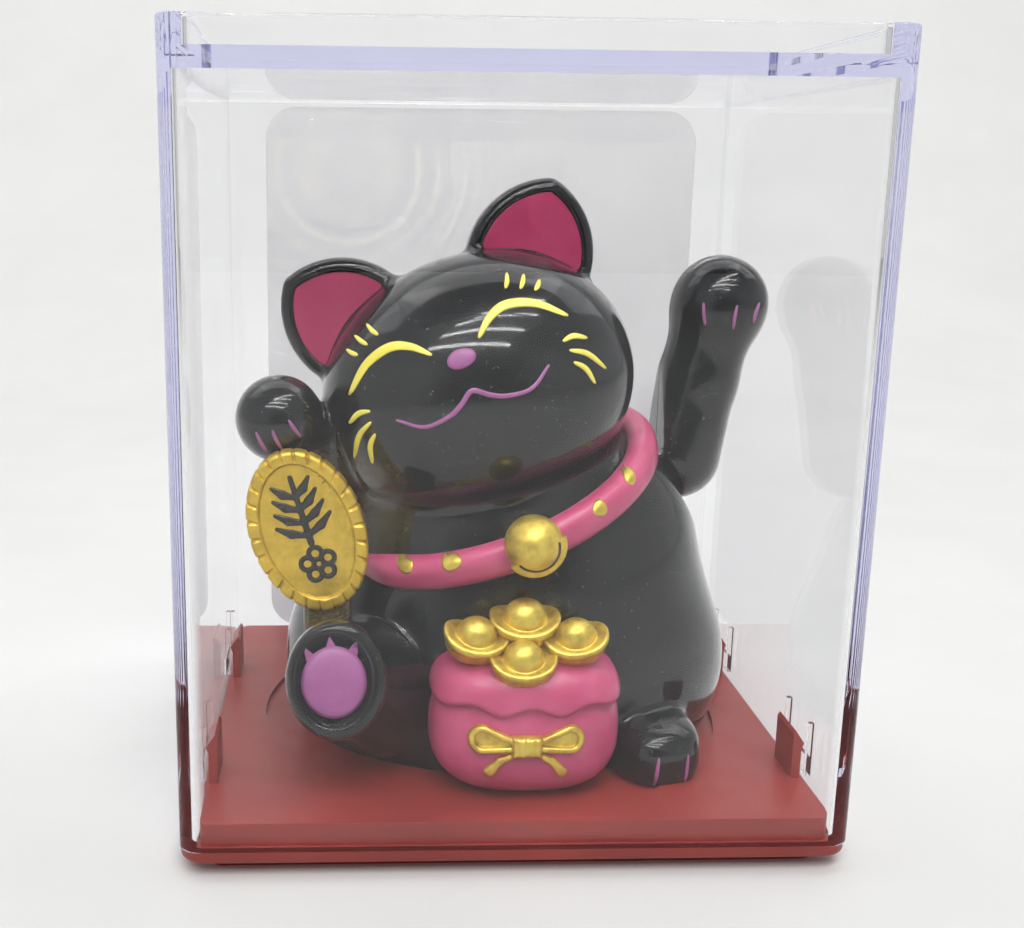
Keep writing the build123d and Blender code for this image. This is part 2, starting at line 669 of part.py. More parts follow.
# ============================================================================================
# Mechanism: frame, axle bushes, coil and circuit
# ============================================================================================
frame_top = FRAME_PLATE_Z + FRAME_PLATE_THICKNESS
with BuildPart() as mechanism_frame:
    with BuildSketch(Plane.XY.offset(FRAME_PLATE_Z)):
        with Locations((FRAME_CENTRE_X, AXLE_Y)):
            RectangleRounded(FRAME_LENGTH, FRAME_WIDTH, FRAME_CORNER)
    extrude(amount=FRAME_PLATE_THICKNESS)
    with BuildSketch(Plane.XY.offset(FLOOR)):
        with Locations(*FRAME_LEGS):
            Circle(LEG_RADIUS)
    extrude(amount=FRAME_PLATE_Z - FLOOR + OVERLAP)
    for post_x in POST_X:
        with BuildSketch(Plane.YZ.offset(post_x - POST_THICKNESS / 2)):
            with BuildLine():
                Polyline(
                    (AXLE_Y - POST_WIDTH, frame_top - OVERLAP),
                    (AXLE_Y + POST_WIDTH, frame_top - OVERLAP),
                    (AXLE_Y + POST_WIDTH / 2, AXLE_Z),
                    (AXLE_Y - POST_WIDTH / 2, AXLE_Z),
                    close=True,
                )
            make_face()
            with Locations((AXLE_Y, AXLE_Z)):
                Circle(POST_WIDTH / 2)
        extrude(amount=POST_THICKNESS)
        with BuildSketch(Plane.YZ.offset(post_x - POST_THICKNESS)):
            with Locations((AXLE_Y, AXLE_Z)):
                Circle(BUSH_RADIUS)
        extrude(amount=2 * POST_THICKNESS, mode=Mode.SUBTRACT)
    with BuildSketch(Plane.XY.offset(FLOOR)):
        with Locations(*FRAME_LEGS):
            Circle(PILOT_RADIUS)
    extrude(amount=SCREW_HOLE_DEPTH, mode=Mode.SUBTRACT)
save(mechanism_frame.part, "mechanism_frame")

for number, post_x in enumerate(POST_X, start=1):
    with BuildPart() as axle_bush:
        with BuildSketch(Plane.YZ.offset(post_x - POST_THICKNESS / 2)):
            with Locations((AXLE_Y, AXLE_Z)):
                Circle(BUSH_RADIUS)
                Circle(AXLE_RADIUS + RUNNING_CLEARANCE, mode=Mode.SUBTRACT)
        extrude(amount=POST_THICKNESS)
    save(axle_bush.part, f"axle_bush_{number}")

coil_centre = (LEVER_X, AXLE_Y)
winding_height = BOBBIN_HEIGHT - 2 * BOBBIN_FLANGE
with BuildPart() as coil_bobbin:
    with BuildSketch(Plane.XY.offset(frame_top)):
        with Locations(coil_centre):
            Circle(BOBBIN_RADIUS)
    extrude(amount=BOBBIN_HEIGHT)
    with BuildSketch(Plane.XY.offset(frame_top + BOBBIN_FLANGE)):
        with Locations(coil_centre):
            Circle(BOBBIN_RADIUS + OVERLAP)
            Circle(BOBBIN_CORE_RADIUS, mode=Mode.SUBTRACT)
    extrude(amount=winding_height, mode=Mode.SUBTRACT)
save(coil_bobbin.part, "coil_bobbin")

with BuildPart() as coil_winding:
    with BuildSketch(Plane.XY.offset(frame_top + BOBBIN_FLANGE)):
        with Locations(coil_centre):
            Circle(WINDING_RADIUS)
            Circle(BOBBIN_CORE_RADIUS, mode=Mode.SUBTRACT)
    extrude(amount=winding_height)
save(coil_winding.part, "coil_winding")

board_x = FRAME_CENTRE_X - FRAME_LENGTH / 2 + BOARD_INSET
board_middle_z = frame_top + BOARD_HEIGHT / 2
with BuildPart() as circuit_board:
    with BuildSketch(Plane.YZ.offset(board_x)):
        with Locations((AXLE_Y, board_middle_z)):
            Rectangle(BOARD_WIDTH, BOARD_HEIGHT)
    extrude(amount=BOARD_THICKNESS)
save(circuit_board.part, "circuit_board")

with BuildPart() as transistor:
    with BuildSketch(Plane.XY.offset(board_middle_z)):
        with Locations((board_x - TRANSISTOR_STANDOFF, AXLE_Y - COMPONENT_SPACING)):
            Circle(TRANSISTOR_RADIUS)
            with Locations((TRANSISTOR_FLAT_AT, 0)):
                Rectangle(
                    TRANSISTOR_RADIUS,
                    2 * TRANSISTOR_RADIUS,
                    align=(Align.MIN, Align.CENTER),
                    mode=Mode.SUBTRACT,
                )
    extrude(amount=TRANSISTOR_HEIGHT)
save(transistor.part, "transistor")

with BuildPart() as capacitor:
    with BuildSketch(Plane.YZ.offset(board_x)):
        with Locations((AXLE_Y + COMPONENT_SPACING, board_middle_z)):
            Circle(CAPACITOR_RADIUS)
    extrude(amount=-CAPACITOR_LENGTH)
    fillet(capacitor.faces().sort_by(Axis.X)[0].edges(), CAPACITOR_EDGE)
save(capacitor.part, "capacitor")

# ============================================================================================
# Swinging arm: two moulded halves, axle, pendulum lever, magnet and weight
# ============================================================================================
with BuildPart() as arm_form:
    add(elliptic_loft(ARM_SECTIONS, AXLE_Y, 0))
    with Locations(ARM_PAW_CENTRE):
        Sphere(ARM_PAW_RADIUS)
    with Locations((ARM_INNER_X, AXLE_Y, AXLE_Z)):
        Box(*ARM_CUT, align=(Align.MAX, Align.CENTER, Align.CENTER), mode=Mode.SUBTRACT)

with BuildPart() as arm_hollow:
    add(elliptic_loft(ARM_SECTIONS[3:], AXLE_Y, ARM_WALL))
    with Locations(ARM_PAW_CENTRE):
        Sphere(ARM_PAW_RADIUS - ARM_WALL)
    with Locations((ARM_INNER_X + ARM_WALL, AXLE_Y, AXLE_Z)):
        Box(*ARM_CUT, align=(Align.MAX, Align.CENTER, Align.CENTER), mode=Mode.SUBTRACT)

with BuildPart() as arm_shell:
    add(arm_form)
    add(arm_hollow, mode=Mode.SUBTRACT)
    with BuildSketch(Plane.YZ.offset(AXLE_END)):
        with Locations((AXLE_Y, AXLE_Z)):
            Circle(AXLE_RADIUS)
    extrude(amount=-AXLE_END, mode=Mode.SUBTRACT)

with BuildPart() as arm_front_half:
    add(half(arm_shell, front=True))
save(arm_front_half.part, "arm_front_half")

with BuildPart() as arm_rear_half:
    add(half(arm_shell, front=False))
save(arm_rear_half.part, "arm_rear_half")

with BuildPart() as arm_axle:
    with BuildSketch(Plane.YZ.offset(AXLE_START)):
        with Locations((AXLE_Y, AXLE_Z)):
            Circle(AXLE_RADIUS)
    extrude(amount=AXLE_END - AXLE_START)
save(arm_axle.part, "arm_axle")

magnet_z = AXLE_Z - LEVER_LENGTH
with BuildPart() as pendulum_lever:
    with BuildSketch(Plane.YZ.offset(LEVER_X - LEVER_THICKNESS / 2)):
        with Locations((AXLE_Y, AXLE_Z)):
            Circle(LEVER_HUB_RADIUS)
        with Locations((AXLE_Y, AXLE_Z)):
            Rectangle(LEVER_WIDTH, LEVER_LENGTH - MAGNET_THICKNESS / 2, align=(Align.CENTER, Align.MAX))
    extrude(amount=LEVER_THICKNESS)
    with BuildSketch(Plane.XY.offset(magnet_z + MAGNET_THICKNESS / 2)):
        with Locations((LEVER_X, AXLE_Y)):
            Circle(MAGNET_CUP_RADIUS)
    extrude(amount=MAGNET_CUP_HEIGHT)
    with BuildSketch(Plane.YZ.offset(LEVER_X)):
        with Locations((AXLE_Y, AXLE_Z)):
            Circle(AXLE_RADIUS)
        with Locations((AXLE_Y, AXLE_Z - WEIGHT_DROP)):
            Circle(RIVET_RADIUS)
    extrude(amount=LEVER_THICKNESS, both=True, mode=Mode.SUBTRACT)
save(pendulum_lever.part, "pendulum_lever")

with BuildPart() as magnet:
    with BuildSketch(Plane.XY.offset(magnet_z - MAGNET_THICKNESS / 2)):
        with Locations((LEVER_X, AXLE_Y)):
            Circle(MAGNET_RADIUS)
    extrude(amount=MAGNET_THICKNESS)
save(magnet.part, "magnet")

# Two steel discs, one each side of the lever, on one rivet
with BuildPart() as counterweight:
    with BuildSketch(Plane.YZ.offset(LEVER_X - LEVER_THICKNESS / 2 - WEIGHT_THICKNESS / 2)):
        with Locations((AXLE_Y, AXLE_Z - WEIGHT_DROP)):
            Circle(WEIGHT_RADIUS)
    extrude(amount=WEIGHT_THICKNESS + LEVER_THICKNESS)
    with BuildSketch(Plane.YZ.offset(LEVER_X - LEVER_THICKNESS / 2)):
        with Locations((AXLE_Y, AXLE_Z - WEIGHT_DROP)):
            Circle(WEIGHT_RADIUS + OVERLAP)
            Circle(RIVET_RADIUS, mode=Mode.SUBTRACT)
    extrude(amount=LEVER_THICKNESS, mode=Mode.SUBTRACT)
save(counterweight.part, "counterweight")

inner_stop_x = POST_X[0] + POST_THICKNESS / 2 + STOP_GAP
for number, stop_x in enumerate((AXLE_START, inner_stop_x), start=1):
    with BuildPart() as axle_stop:
        with BuildSketch(Plane.YZ.offset(stop_x)):
            with Locations((AXLE_Y, AXLE_Z)):
                Circle(STOP_RADIUS)
                Circle(AXLE_RADIUS, mode=Mode.SUBTRACT)
        extrude(amount=STOP_LENGTH)
    save(axle_stop.part, f"axle_stop_{number}")

# ============================================================================================
# Screws
# ============================================================================================


def screw(seat, direction, head_radius, length):
    """Round-headed cross-slot screw whose head bears on its seat."""
    with BuildPart() as body:
        with BuildSketch(Plane(origin=seat, z_dir=direction)):
            Circle(SHANK_RADIUS)
        extrude(amount=length)
        with BuildSketch(Plane(origin=seat, z_dir=direction)):
            Circle(head_radius)
        extrude(amount=-HEAD_HEIGHT)
        outer = Vector(*seat) - Vector(*direction) * HEAD_HEIGHT
        with BuildSketch(Plane(origin=outer, z_dir=direction)):
            Rectangle(CROSS_LENGTH, CROSS_WIDTH)
            Rectangle(CROSS_WIDTH, CROSS_LENGTH)
        extrude(amount=CROSS_DEPTH, mode=Mode.SUBTRACT)
    return body.part


with BuildPart() as base_screws:
    for x, y in SHELL_POSTS:
        add(screw((x, y, BASE_SCREW_SEAT), (0, 0, 1), BASE_HEAD_RADIUS, BASE_SCREW_LENGTH))
save(base_screws.part, "base_screws")

with BuildPart() as frame_screws:
    for x, y in FRAME_LEGS:
        add(screw((x, y, BASE_SCREW_SEAT), (0, 0, 1), BASE_HEAD_RADIUS, BASE_SCREW_LENGTH))
save(frame_screws.part, "frame_screws")

with BuildPart() as shell_screws:
    for x, z in SHELL_SCREWS:
        add(screw((x, SHELL_SCREW_SEAT_Y, z), (0, -1, 0), SHELL_HEAD_RADIUS, SHELL_SCREW_LENGTH))
save(shell_screws.part, "shell_screws")

# ============================================================================================
# Clear cover and its label
# ============================================================================================
inner_wall_x = CASE_WIDTH / 2 - COVER_WALL
rib_from_clip = CLIP_LENGTH / 2 + GUIDE_RIB_GAP + GUIDE_RIB_WIDTH / 2
rib_box = (GUIDE_RIB_DEPTH + OVERLAP, GUIDE_RIB_WIDTH, GUIDE_RIB_HEIGHT)
rib_x = inner_wall_x + OVERLAP - rib_box[0] / 2
catch_box = (CATCH_DEPTH + OVERLAP, CATCH_LENGTH, CATCH_HEIGHT)
catch_x = inner_wall_x + OVERLAP - catch_box[0] / 2
with BuildPart() as clear_cover:
    with BuildSketch(Plane.XY.offset(FLANGE_TOP)):
        RectangleRounded(CASE_WIDTH, CASE_DEPTH, CASE_CORNER)
    extrude(amount=CASE_HEIGHT - FLANGE_TOP)
    with BuildSketch(Plane.XY.offset(FLANGE_TOP)):
        RectangleRounded(CASE_WIDTH - 2 * COVER_WALL, CASE_DEPTH - 2 * COVER_WALL, CASE_CORNER - 1)
    extrude(amount=CASE_HEIGHT - STACKING_RIM - COVER_TOP - FLANGE_TOP, mode=Mode.SUBTRACT)
    with BuildSketch(Plane.XY.offset(CASE_HEIGHT - STACKING_RIM)):
        RectangleRounded(FOOT_WIDTH + 2 * STACKING_FIT, FOOT_DEPTH + 2 * STACKING_FIT, CASE_CORNER)
    extrude(amount=STACKING_RIM, mode=Mode.SUBTRACT)
    fillet(clear_cover.edges().group_by(Axis.Z)[-1], COVER_EDGE)
    # Guide ribs and a catch beside each snap clip
    for side in (-1, 1):
        for clip_y in (CLIP_FRONT_Y, CLIP_REAR_Y):
            for end in (-1, 1):
                with Locations((side * rib_x, clip_y + end * rib_from_clip, GUIDE_RIB_MIDDLE_Z)):
                    Box(*rib_box)
            with Locations((side * catch_x, clip_y, CATCH_MIDDLE_Z)):
                Box(*catch_box)
save(clear_cover.part, "clear_cover")

with BuildPart() as rear_label:
    with BuildSketch(Plane.XZ.offset(-CASE_DEPTH / 2)):
        with Locations((LABEL_CENTRE_X, (LABEL_LOW + LABEL_HIGH) / 2)):
            RectangleRounded(LABEL_WIDTH, LABEL_HIGH - LABEL_LOW, LABEL_CORNER)
    extrude(amount=-LABEL_THICKNESS)
save(rear_label.part, "rear_label")
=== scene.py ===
"""Beckoning cat in its clear display case: looks, materials, light and camera.

Lengths in this script are millimetres unless a name says otherwise; MM turns them into Blender's metres.
The cat faces -Y and +Z is up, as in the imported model.
"""
from math import cos, pi, radians, sin, sqrt

import bmesh
import bpy
import numpy as np
import openvdb
from mathutils import Matrix, Vector
from mathutils.bvhtree import BVHTree


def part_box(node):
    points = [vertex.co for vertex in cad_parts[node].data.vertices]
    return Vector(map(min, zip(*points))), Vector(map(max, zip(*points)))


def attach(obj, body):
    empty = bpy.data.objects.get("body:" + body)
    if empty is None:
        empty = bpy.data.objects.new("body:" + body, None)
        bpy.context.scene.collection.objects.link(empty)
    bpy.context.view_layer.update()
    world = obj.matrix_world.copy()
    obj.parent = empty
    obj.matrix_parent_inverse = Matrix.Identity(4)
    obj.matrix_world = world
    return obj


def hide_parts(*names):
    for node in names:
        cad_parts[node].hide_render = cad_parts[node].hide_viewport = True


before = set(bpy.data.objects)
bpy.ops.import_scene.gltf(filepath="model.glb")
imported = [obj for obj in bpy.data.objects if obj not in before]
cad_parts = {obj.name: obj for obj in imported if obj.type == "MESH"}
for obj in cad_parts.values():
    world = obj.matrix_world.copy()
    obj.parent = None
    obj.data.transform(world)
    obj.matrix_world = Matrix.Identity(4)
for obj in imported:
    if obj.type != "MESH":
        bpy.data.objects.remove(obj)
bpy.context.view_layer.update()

MM = 0.001


# =============================================================================================
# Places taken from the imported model
# =============================================================================================
def box_mm(node):
    """Lowest and highest corner of a CAD node, in millimetres."""
    low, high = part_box(node)
    return np.array(low) / MM, np.array(high) / MM


axle_low, axle_high = box_mm("arm_axle")
arm_low, arm_high = box_mm("arm_front_half")
FLOOR = float(box_mm("cat_front_shell")[0][2])
SEAM_Y = float((axle_low[1] + axle_high[1]) / 2)
AXLE_Z = float((axle_low[2] + axle_high[2]) / 2)
ARM_INNER_X = float(arm_low[0])
ARM_TOP = float(arm_high[2])


# =============================================================================================
# Signed distance shapes. A field takes the coordinates (x, y, z) as arrays and gives distances.
# =============================================================================================
class Axes:
    """A turned frame: origin, and unit directions for right, up and forward."""

    def __init__(self, origin, roll=0.0, pitch=0.0, yaw=0.0):
        self.origin = np.array(origin, float)
        level = np.array([cos(radians(yaw)), -sin(radians(yaw)), 0.0])
        forward = np.array([-sin(radians(yaw)), -cos(radians(yaw)), 0.0])
        upright = np.array([0.0, 0.0, 1.0])
        turn, lean = radians(roll), radians(pitch)
        self.right = level * cos(turn) + upright * sin(turn)
        up = upright * cos(turn) - level * sin(turn)
        self.up = up * cos(lean) - forward * sin(lean)
        self.forward = forward * cos(lean) + up * sin(lean)

    def local(self, p):
        """Coordinates along right, up and forward."""
        d = [p[i] - np.float32(self.origin[i]) for i in range(3)]
        return tuple(
            sum(d[i] * np.float32(axis[i]) for i in range(3)) for axis in (self.right, self.up, self.forward)
        )

    def point(self, u, v, w=0.0):
        return self.origin + u * self.right + v * self.up + w * self.forward


def ellipsoid(p, centre, radii):
    """Distance to an ellipsoid, close to exact near its surface."""
    scaled = [(p[i] - np.float32(centre[i])) / np.float32(radii[i]) for i in range(3)]
    k0 = np.sqrt(sum(s * s for s in scaled)) + 1e-6
    k1 = np.sqrt(sum((scaled[i] / np.float32(radii[i])) ** 2 for i in range(3))) + 1e-6
    return k0 * (k0 - 1) / k1


def bar(p, start, end, start_radius, end_radius):
    """Distance to a round bar whose radius changes from one end to the other."""
    start, end = np.array(start, float), np.array(end, float)
    run = end - start
    along = sum((p[i] - np.float32(start[i])) * np.float32(run[i]) for i in range(3)) / float(run @ run)
    along = np.clip(along, 0, 1)
    away = np.sqrt(sum((p[i] - np.float32(start[i]) - along * np.float32(run[i])) ** 2 for i in range(3)))
    return away - (start_radius + (end_radius - start_radius) * along)


def block(p, centre, half, corner):
    """Distance to a block with rounded edges."""
    q = [np.abs(p[i] - np.float32(centre[i])) - np.float32(half[i] - corner) for i in range(3)]
    outside = np.sqrt(sum(np.maximum(a, 0) ** 2 for a in q))
    inside = np.minimum(np.maximum(q[0], np.maximum(q[1], q[2])), 0)
    return outside + inside - corner


def join(a, b, soft=0.0):
    """Union, with a fillet of about that size."""
    if soft <= 0:
        return np.minimum(a, b)
    h = np.maximum(soft - np.abs(a - b), 0) / soft
    return np.minimum(a, b) - h * h * soft / 4


def common(a, b, soft=0.0):
    """Intersection, with a rounded edge."""
    return -join(-a, -b, soft)


def cut(a, b, soft=0.0):
    """The first shape without the second."""
    return -join(-a, b, soft)


def ring(p, ring_radius, half_height, half_thickness, corner, stretch=1.0):
    """A flat-sided ring about the third axis; stretch makes it longer along the second."""
    radial = np.sqrt(p[0] ** 2 + (p[1] / stretch) ** 2) - ring_radius
    q0 = np.abs(radial) - (half_thickness - corner)
    q1 = np.abs(p[2]) - (half_height - corner)
    outside = np.sqrt(np.maximum(q0, 0) ** 2 + np.maximum(q1, 0) ** 2)
    return outside + np.minimum(np.maximum(q0, q1), 0) - corner


def squircle(p, centre, radii, power):
    """Distance to a boxy ellipsoid, close to exact near its surface."""
    q = [np.abs(p[i] - np.float32(centre[i])) / np.float32(radii[i]) + 1e-4 for i in range(3)]
    k = sum(a**power for a in q) ** (1 / power)
    slope = np.sqrt(sum((q[i] ** (power - 1) / np.float32(radii[i])) ** 2 for i in range(3)))
    return (k - 1) * k ** (power - 1) / slope


def oval(u, v, half_width, half_height):
    """Distance to an ellipse in a plane, close to exact near its edge."""
    k0 = np.sqrt((u / half_width) ** 2 + (v / half_height) ** 2) + 1e-6
    k1 = np.sqrt((u / half_width**2) ** 2 + (v / half_height**2) ** 2) + 1e-6
    return k0 * (k0 - 1) / k1


def bar2(u, v, start, end, start_radius, end_radius):
    """Distance in a plane to a stroke whose width changes from one end to the other."""
    run_u, run_v = end[0] - start[0], end[1] - start[1]
    along = np.clip(((u - start[0]) * run_u + (v - start[1]) * run_v) / (run_u**2 + run_v**2), 0, 1)
    away = np.hypot(u - start[0] - along * run_u, v - start[1] - along * run_v)
    return away - (start_radius + (end_radius - start_radius) * along)


def ogive(u, v, half_width, arc, corner):
    """Distance to a pointed arch standing on v = 0, with a rounded tip and straight sides below."""
    half, radius = half_width - corner, arc - corner
    u, v = np.abs(u), np.maximum(v, 0)
    centre = radius - half
    tip = sqrt(radius**2 - centre**2)
    beyond = (v - tip) * centre > u * tip
    return np.where(beyond, np.hypot(u, v - tip), np.hypot(u + centre, v) - radius) - corner


def slope_of(field, points, reach):
    """Value and gradient of a field at points given as rows."""
    value = field([points[:, i] for i in range(3)])
    gradient = np.empty_like(points)
    for axis in range(3):
        ahead, behind = points.copy(), points.copy()
        ahead[:, axis] += reach
        behind[:, axis] -= reach
        rise = field([ahead[:, i] for i in range(3)]) - field([behind[:, i] for i in range(3)])
        gradient[:, axis] = rise / (2 * reach)
    return value, gradient


def mesh_from_field(name, field, low, high, step, merge=0.0):
    """A smooth closed mesh where the field is zero, in metres."""
    low, high = np.array(low, float), np.array(high, float)
    axes = [np.arange(low[i], high[i] + step, step, dtype=np.float32) for i in range(3)]
    values = field(np.meshgrid(*axes, indexing="ij", sparse=True)).astype(np.float32)
    for axis in range(3):
        edge = np.moveaxis(values, axis, 0)
        edge[0] = np.maximum(edge[0], step)
        edge[-1] = np.maximum(edge[-1], step)
    grid = openvdb.FloatGrid(step)
    grid.copyFromArray(np.ascontiguousarray(values))
    points, triangles, quads = grid.convertToPolygons(isovalue=0.0, adaptivity=merge)
    points = (points * step + low).astype(np.float32)
    for _ in range(3):
        value, gradient = slope_of(field, points, step * 0.25)
        steep = np.maximum((gradient**2).sum(1), 0.09)
        points = points - gradient * np.clip(value / steep, -0.4 * step, 0.4 * step)[:, None]
    gradient = slope_of(field, points, step * 0.25)[1]
    normals = gradient / np.maximum(np.linalg.norm(gradient, axis=1), 1e-6)[:, None]
    mesh = bpy.data.meshes.new(name)
    mesh.from_pydata((points * MM).tolist(), [], triangles.tolist() + quads.tolist())
    mesh.shade_smooth()
    mesh.normals_split_custom_set_from_vertices(normals.tolist())
    piece = bpy.data.objects.new(name, mesh)
    bpy.context.collection.objects.link(piece)
    return piece


def keep_piece(piece, body, material, replaced=()):
    """Gives a piece its material and its body, and hides the CAD nodes it stands for."""
    piece.data.materials.clear()
    piece.data.materials.append(material)
    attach(piece, body)
    if replaced:
        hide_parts(*replaced)
    return piece


# =============================================================================================
# Materials
# =============================================================================================
class Nodes:
    """Short helpers for one material's node tree."""

    def __init__(self, name):
        self.material = bpy.data.materials.new(name)
        self.material.use_nodes = True
        self.tree = self.material.node_tree
        self.tree.nodes.clear()
        self.output = self.tree.nodes.new("ShaderNodeOutputMaterial")
        self.place = self.tree.nodes.new("ShaderNodeTexCoord").outputs["Object"]

    def node(self, kind, **settings):
        made = self.tree.nodes.new(kind)
        for key, value in settings.items():
            setattr(made, key, value)
        return made

    def link(self, source, target):
        self.tree.links.new(source, target)

    def shader(self, **sockets):
        """A Principled shader with plain numbers on its sockets."""
        made = self.node("ShaderNodeBsdfPrincipled")
        for key, value in sockets.items():
            made.inputs[key.replace("_", " ")].default_value = value
        self.link(made.outputs[0], self.output.inputs["Surface"])
        return made

    def noise(self, size_mm, detail=3.0, roughness=0.55):
        """Noise whose features are about size_mm across."""
        made = self.node("ShaderNodeTexNoise")
        made.inputs["Scale"].default_value = 1.0 / (size_mm * MM)
        made.inputs["Detail"].default_value = detail
        made.inputs["Roughness"].default_value = roughness
        self.link(self.place, made.inputs["Vector"])
        return made.outputs["Fac"]

    def ramp(self, value, low, high, start=0.0, end=1.0):
        """Value from low..high mapped to start..end, held at the ends."""
        made = self.node("ShaderNodeMapRange")
        self.link(value, made.inputs["Value"])
        for key, number in zip(("From Min", "From Max", "To Min", "To Max"), (low, high, start, end)):
            made.inputs[key].default_value = number
        return made.outputs["Result"]

    def mix(self, amount, first, second):
        """A colour between two, each a colour or a socket."""
        made = self.node("ShaderNodeMix", data_type="RGBA")
        if isinstance(amount, float):
            made.inputs["Factor"].default_value = amount
        else:
            self.link(amount, made.inputs["Factor"])
        for key, colour in (("A", first), ("B", second)):
            socket = [s for s in made.inputs if s.name == key and s.type == "RGBA"][0]
            if isinstance(colour, tuple):
                socket.default_value = (*colour, 1.0)
            else:
                self.link(colour, socket)
        return [s for s in made.outputs if s.type == "RGBA"][0]

    def bump(self, height, depth_mm, strength=1.0):
        made = self.node("ShaderNodeBump")
        made.inputs["Strength"].default_value = strength
        made.inputs["Distance"].default_value = depth_mm * MM
        self.link(height, made.inputs["Height"])
        return made.outputs["Normal"]

    def math(self, operation, first, second):
        made = self.node("ShaderNodeMath", operation=operation)
        for socket, value in zip(made.inputs, (first, second)):
            if isinstance(value, (int, float)):
                socket.default_value = value
            else:
                self.link(value, socket)
        return made.outputs[0]

    def near(self, centre, radius, edge):
        """1 inside a sphere given in millimetres, falling to 0 over edge outside it."""
        away = self.node("ShaderNodeVectorMath", operation="DISTANCE")
        self.link(self.place, away.inputs[0])
        away.inputs[1].default_value = tuple(c * MM for c in centre)
        return self.ramp(away.outputs["Value"], radius * MM, (radius + edge) * MM, 1.0, 0.0)


def lacquer(name, colour, other, roughness, coat, grain_mm=0.5, speck=0.0):
    """Paint over moulded plastic: cloudy colour, faint orange peel, uneven gloss."""
    m = Nodes(name)
    paint = m.shader(Coat_Weight=coat, Coat_Roughness=0.06, IOR=1.5)
    cloud = m.ramp(m.noise(7.0, 4.0), 0.35, 0.65)
    base = m.mix(cloud, colour, other)
    if speck:
        dots = m.ramp(m.noise(0.35, 1.0), 0.70, 0.76)
        base = m.mix(m.math("MULTIPLY", dots, speck), base, (0.55, 0.42, 0.20))
    m.link(base, paint.inputs["Base Color"])
    m.link(m.ramp(m.noise(3.0), 0.3, 0.7, roughness * 0.75, roughness * 1.3), paint.inputs["Roughness"])
    m.link(m.bump(m.noise(grain_mm, 2.0), 0.02), paint.inputs["Normal"])
    return m.material


def gold_paint(name, colour, shade):
    """Metallic paint: satin, with fine flake and darker brown where it thins."""
    m = Nodes(name)
    paint = m.shader(Metallic=0.72, IOR=1.5)
    worn = m.ramp(m.noise(2.2, 5.0, 0.65), 0.34, 0.62)
    flake = m.ramp(m.noise(0.16, 1.0), 0.3, 0.7, 0.0, 0.35)
    tone = m.mix(worn, shade, colour)
    m.link(m.mix(flake, tone, tuple(min(1.0, c * 1.35) for c in colour)), paint.inputs["Base Color"])
    m.link(m.ramp(m.noise(1.1), 0.3, 0.7, 0.30, 0.48), paint.inputs["Roughness"])
    m.link(m.bump(m.noise(0.22, 3.0), 0.03), paint.inputs["Normal"])
    return m.material


def black_lacquer():
    """The cat's black: deep gloss, with gold overspray round the coin, the bell and the ingots."""
    m = Nodes("black_lacquer")
    paint = m.shader(Coat_Weight=1.0, Coat_Roughness=0.05, Coat_IOR=1.45, IOR=1.45, Specular_IOR_Level=0.2)
    cloud = m.ramp(m.noise(9.0, 4.0), 0.35, 0.65)
    base = m.mix(cloud, (0.0055, 0.0060, 0.0066), (0.0085, 0.0095, 0.0100))
    for centre, radius, edge, strength in OVERSPRAY:
        grains = m.ramp(m.noise(0.22, 2.0, 0.7), 0.35, 0.68)
        amount = m.math("MULTIPLY", m.near(centre, radius, edge), grains)
        base = m.mix(m.math("MULTIPLY", amount, strength), base, (0.20, 0.145, 0.035))
    dust = m.ramp(m.noise(0.30, 0.0), 0.80, 0.83, 0.0, 0.5)
    base = m.mix(dust, base, (0.25, 0.25, 0.24))
    m.link(base, paint.inputs["Base Color"])
    m.link(m.ramp(m.noise(4.0), 0.3, 0.7, 0.16, 0.26), paint.inputs["Roughness"])
    m.link(m.bump(m.noise(2.6, 2.0), 0.012), paint.inputs["Normal"])
    return m.material


# centre, radius, fall-off, strength
OVERSPRAY = [
    ((-29.5, -24.0, 35.5), 4.0, 2.5, 0.9),
    ((-25.0, -22.0, 50.0), 7.5, 4.0, 0.5),
    ((2.4, -30.0, 46.5), 5.5, 2.5, 0.3),
    ((1.8, -32.0, 35.5), 6.0, 4.0, 0.3),
]

black = black_lacquer()
pink = lacquer("pink_paint", (0.47, 0.055, 0.145), (0.54, 0.085, 0.19), 0.38, 0.25, speck=0.15)
crimson = lacquer("crimson_paint", (0.30, 0.018, 0.075), (0.36, 0.028, 0.095), 0.42, 0.15)
purple = lacquer("purple_paint", (0.30, 0.085, 0.235), (0.36, 0.12, 0.29), 0.42, 0.15)
yellow = lacquer("yellow_paint", (0.80, 0.68, 0.07), (0.86, 0.77, 0.14), 0.35, 0.2)
gold = gold_paint("gold_paint", (0.74, 0.56, 0.10), (0.44, 0.29, 0.05))
coin_gold = gold_paint("coin_gold_paint", (0.72, 0.50, 0.07), (0.48, 0.32, 0.04))
# dark brown for the bell's slot: painted shade that darkens the groove
painted_slot_shade = lacquer("painted_slot_shade_paint", (0.060, 0.032, 0.008), (0.10, 0.055, 0.014), 0.5, 0.0)
ink = lacquer("black_ink", (0.010, 0.010, 0.010), (0.018, 0.016, 0.012), 0.35, 0.2)


def red_plastic():
    m = Nodes("red_plastic")
    shell = m.shader(IOR=1.5, Subsurface_Weight=0.12, Subsurface_Scale=0.002)
    shell.inputs["Subsurface Radius"].default_value = (1.0, 0.25, 0.2)
    flow = m.ramp(m.noise(24.0, 3.0), 0.35, 0.65)
    m.link(m.mix(flow, (0.25, 0.030, 0.024), (0.30, 0.040, 0.032)), shell.inputs["Base Color"])
    m.link(m.ramp(m.noise(5.0), 0.3, 0.7, 0.30, 0.44), shell.inputs["Roughness"])
    m.link(m.bump(m.noise(0.35, 3.0), 0.015), shell.inputs["Normal"])
    return m.material


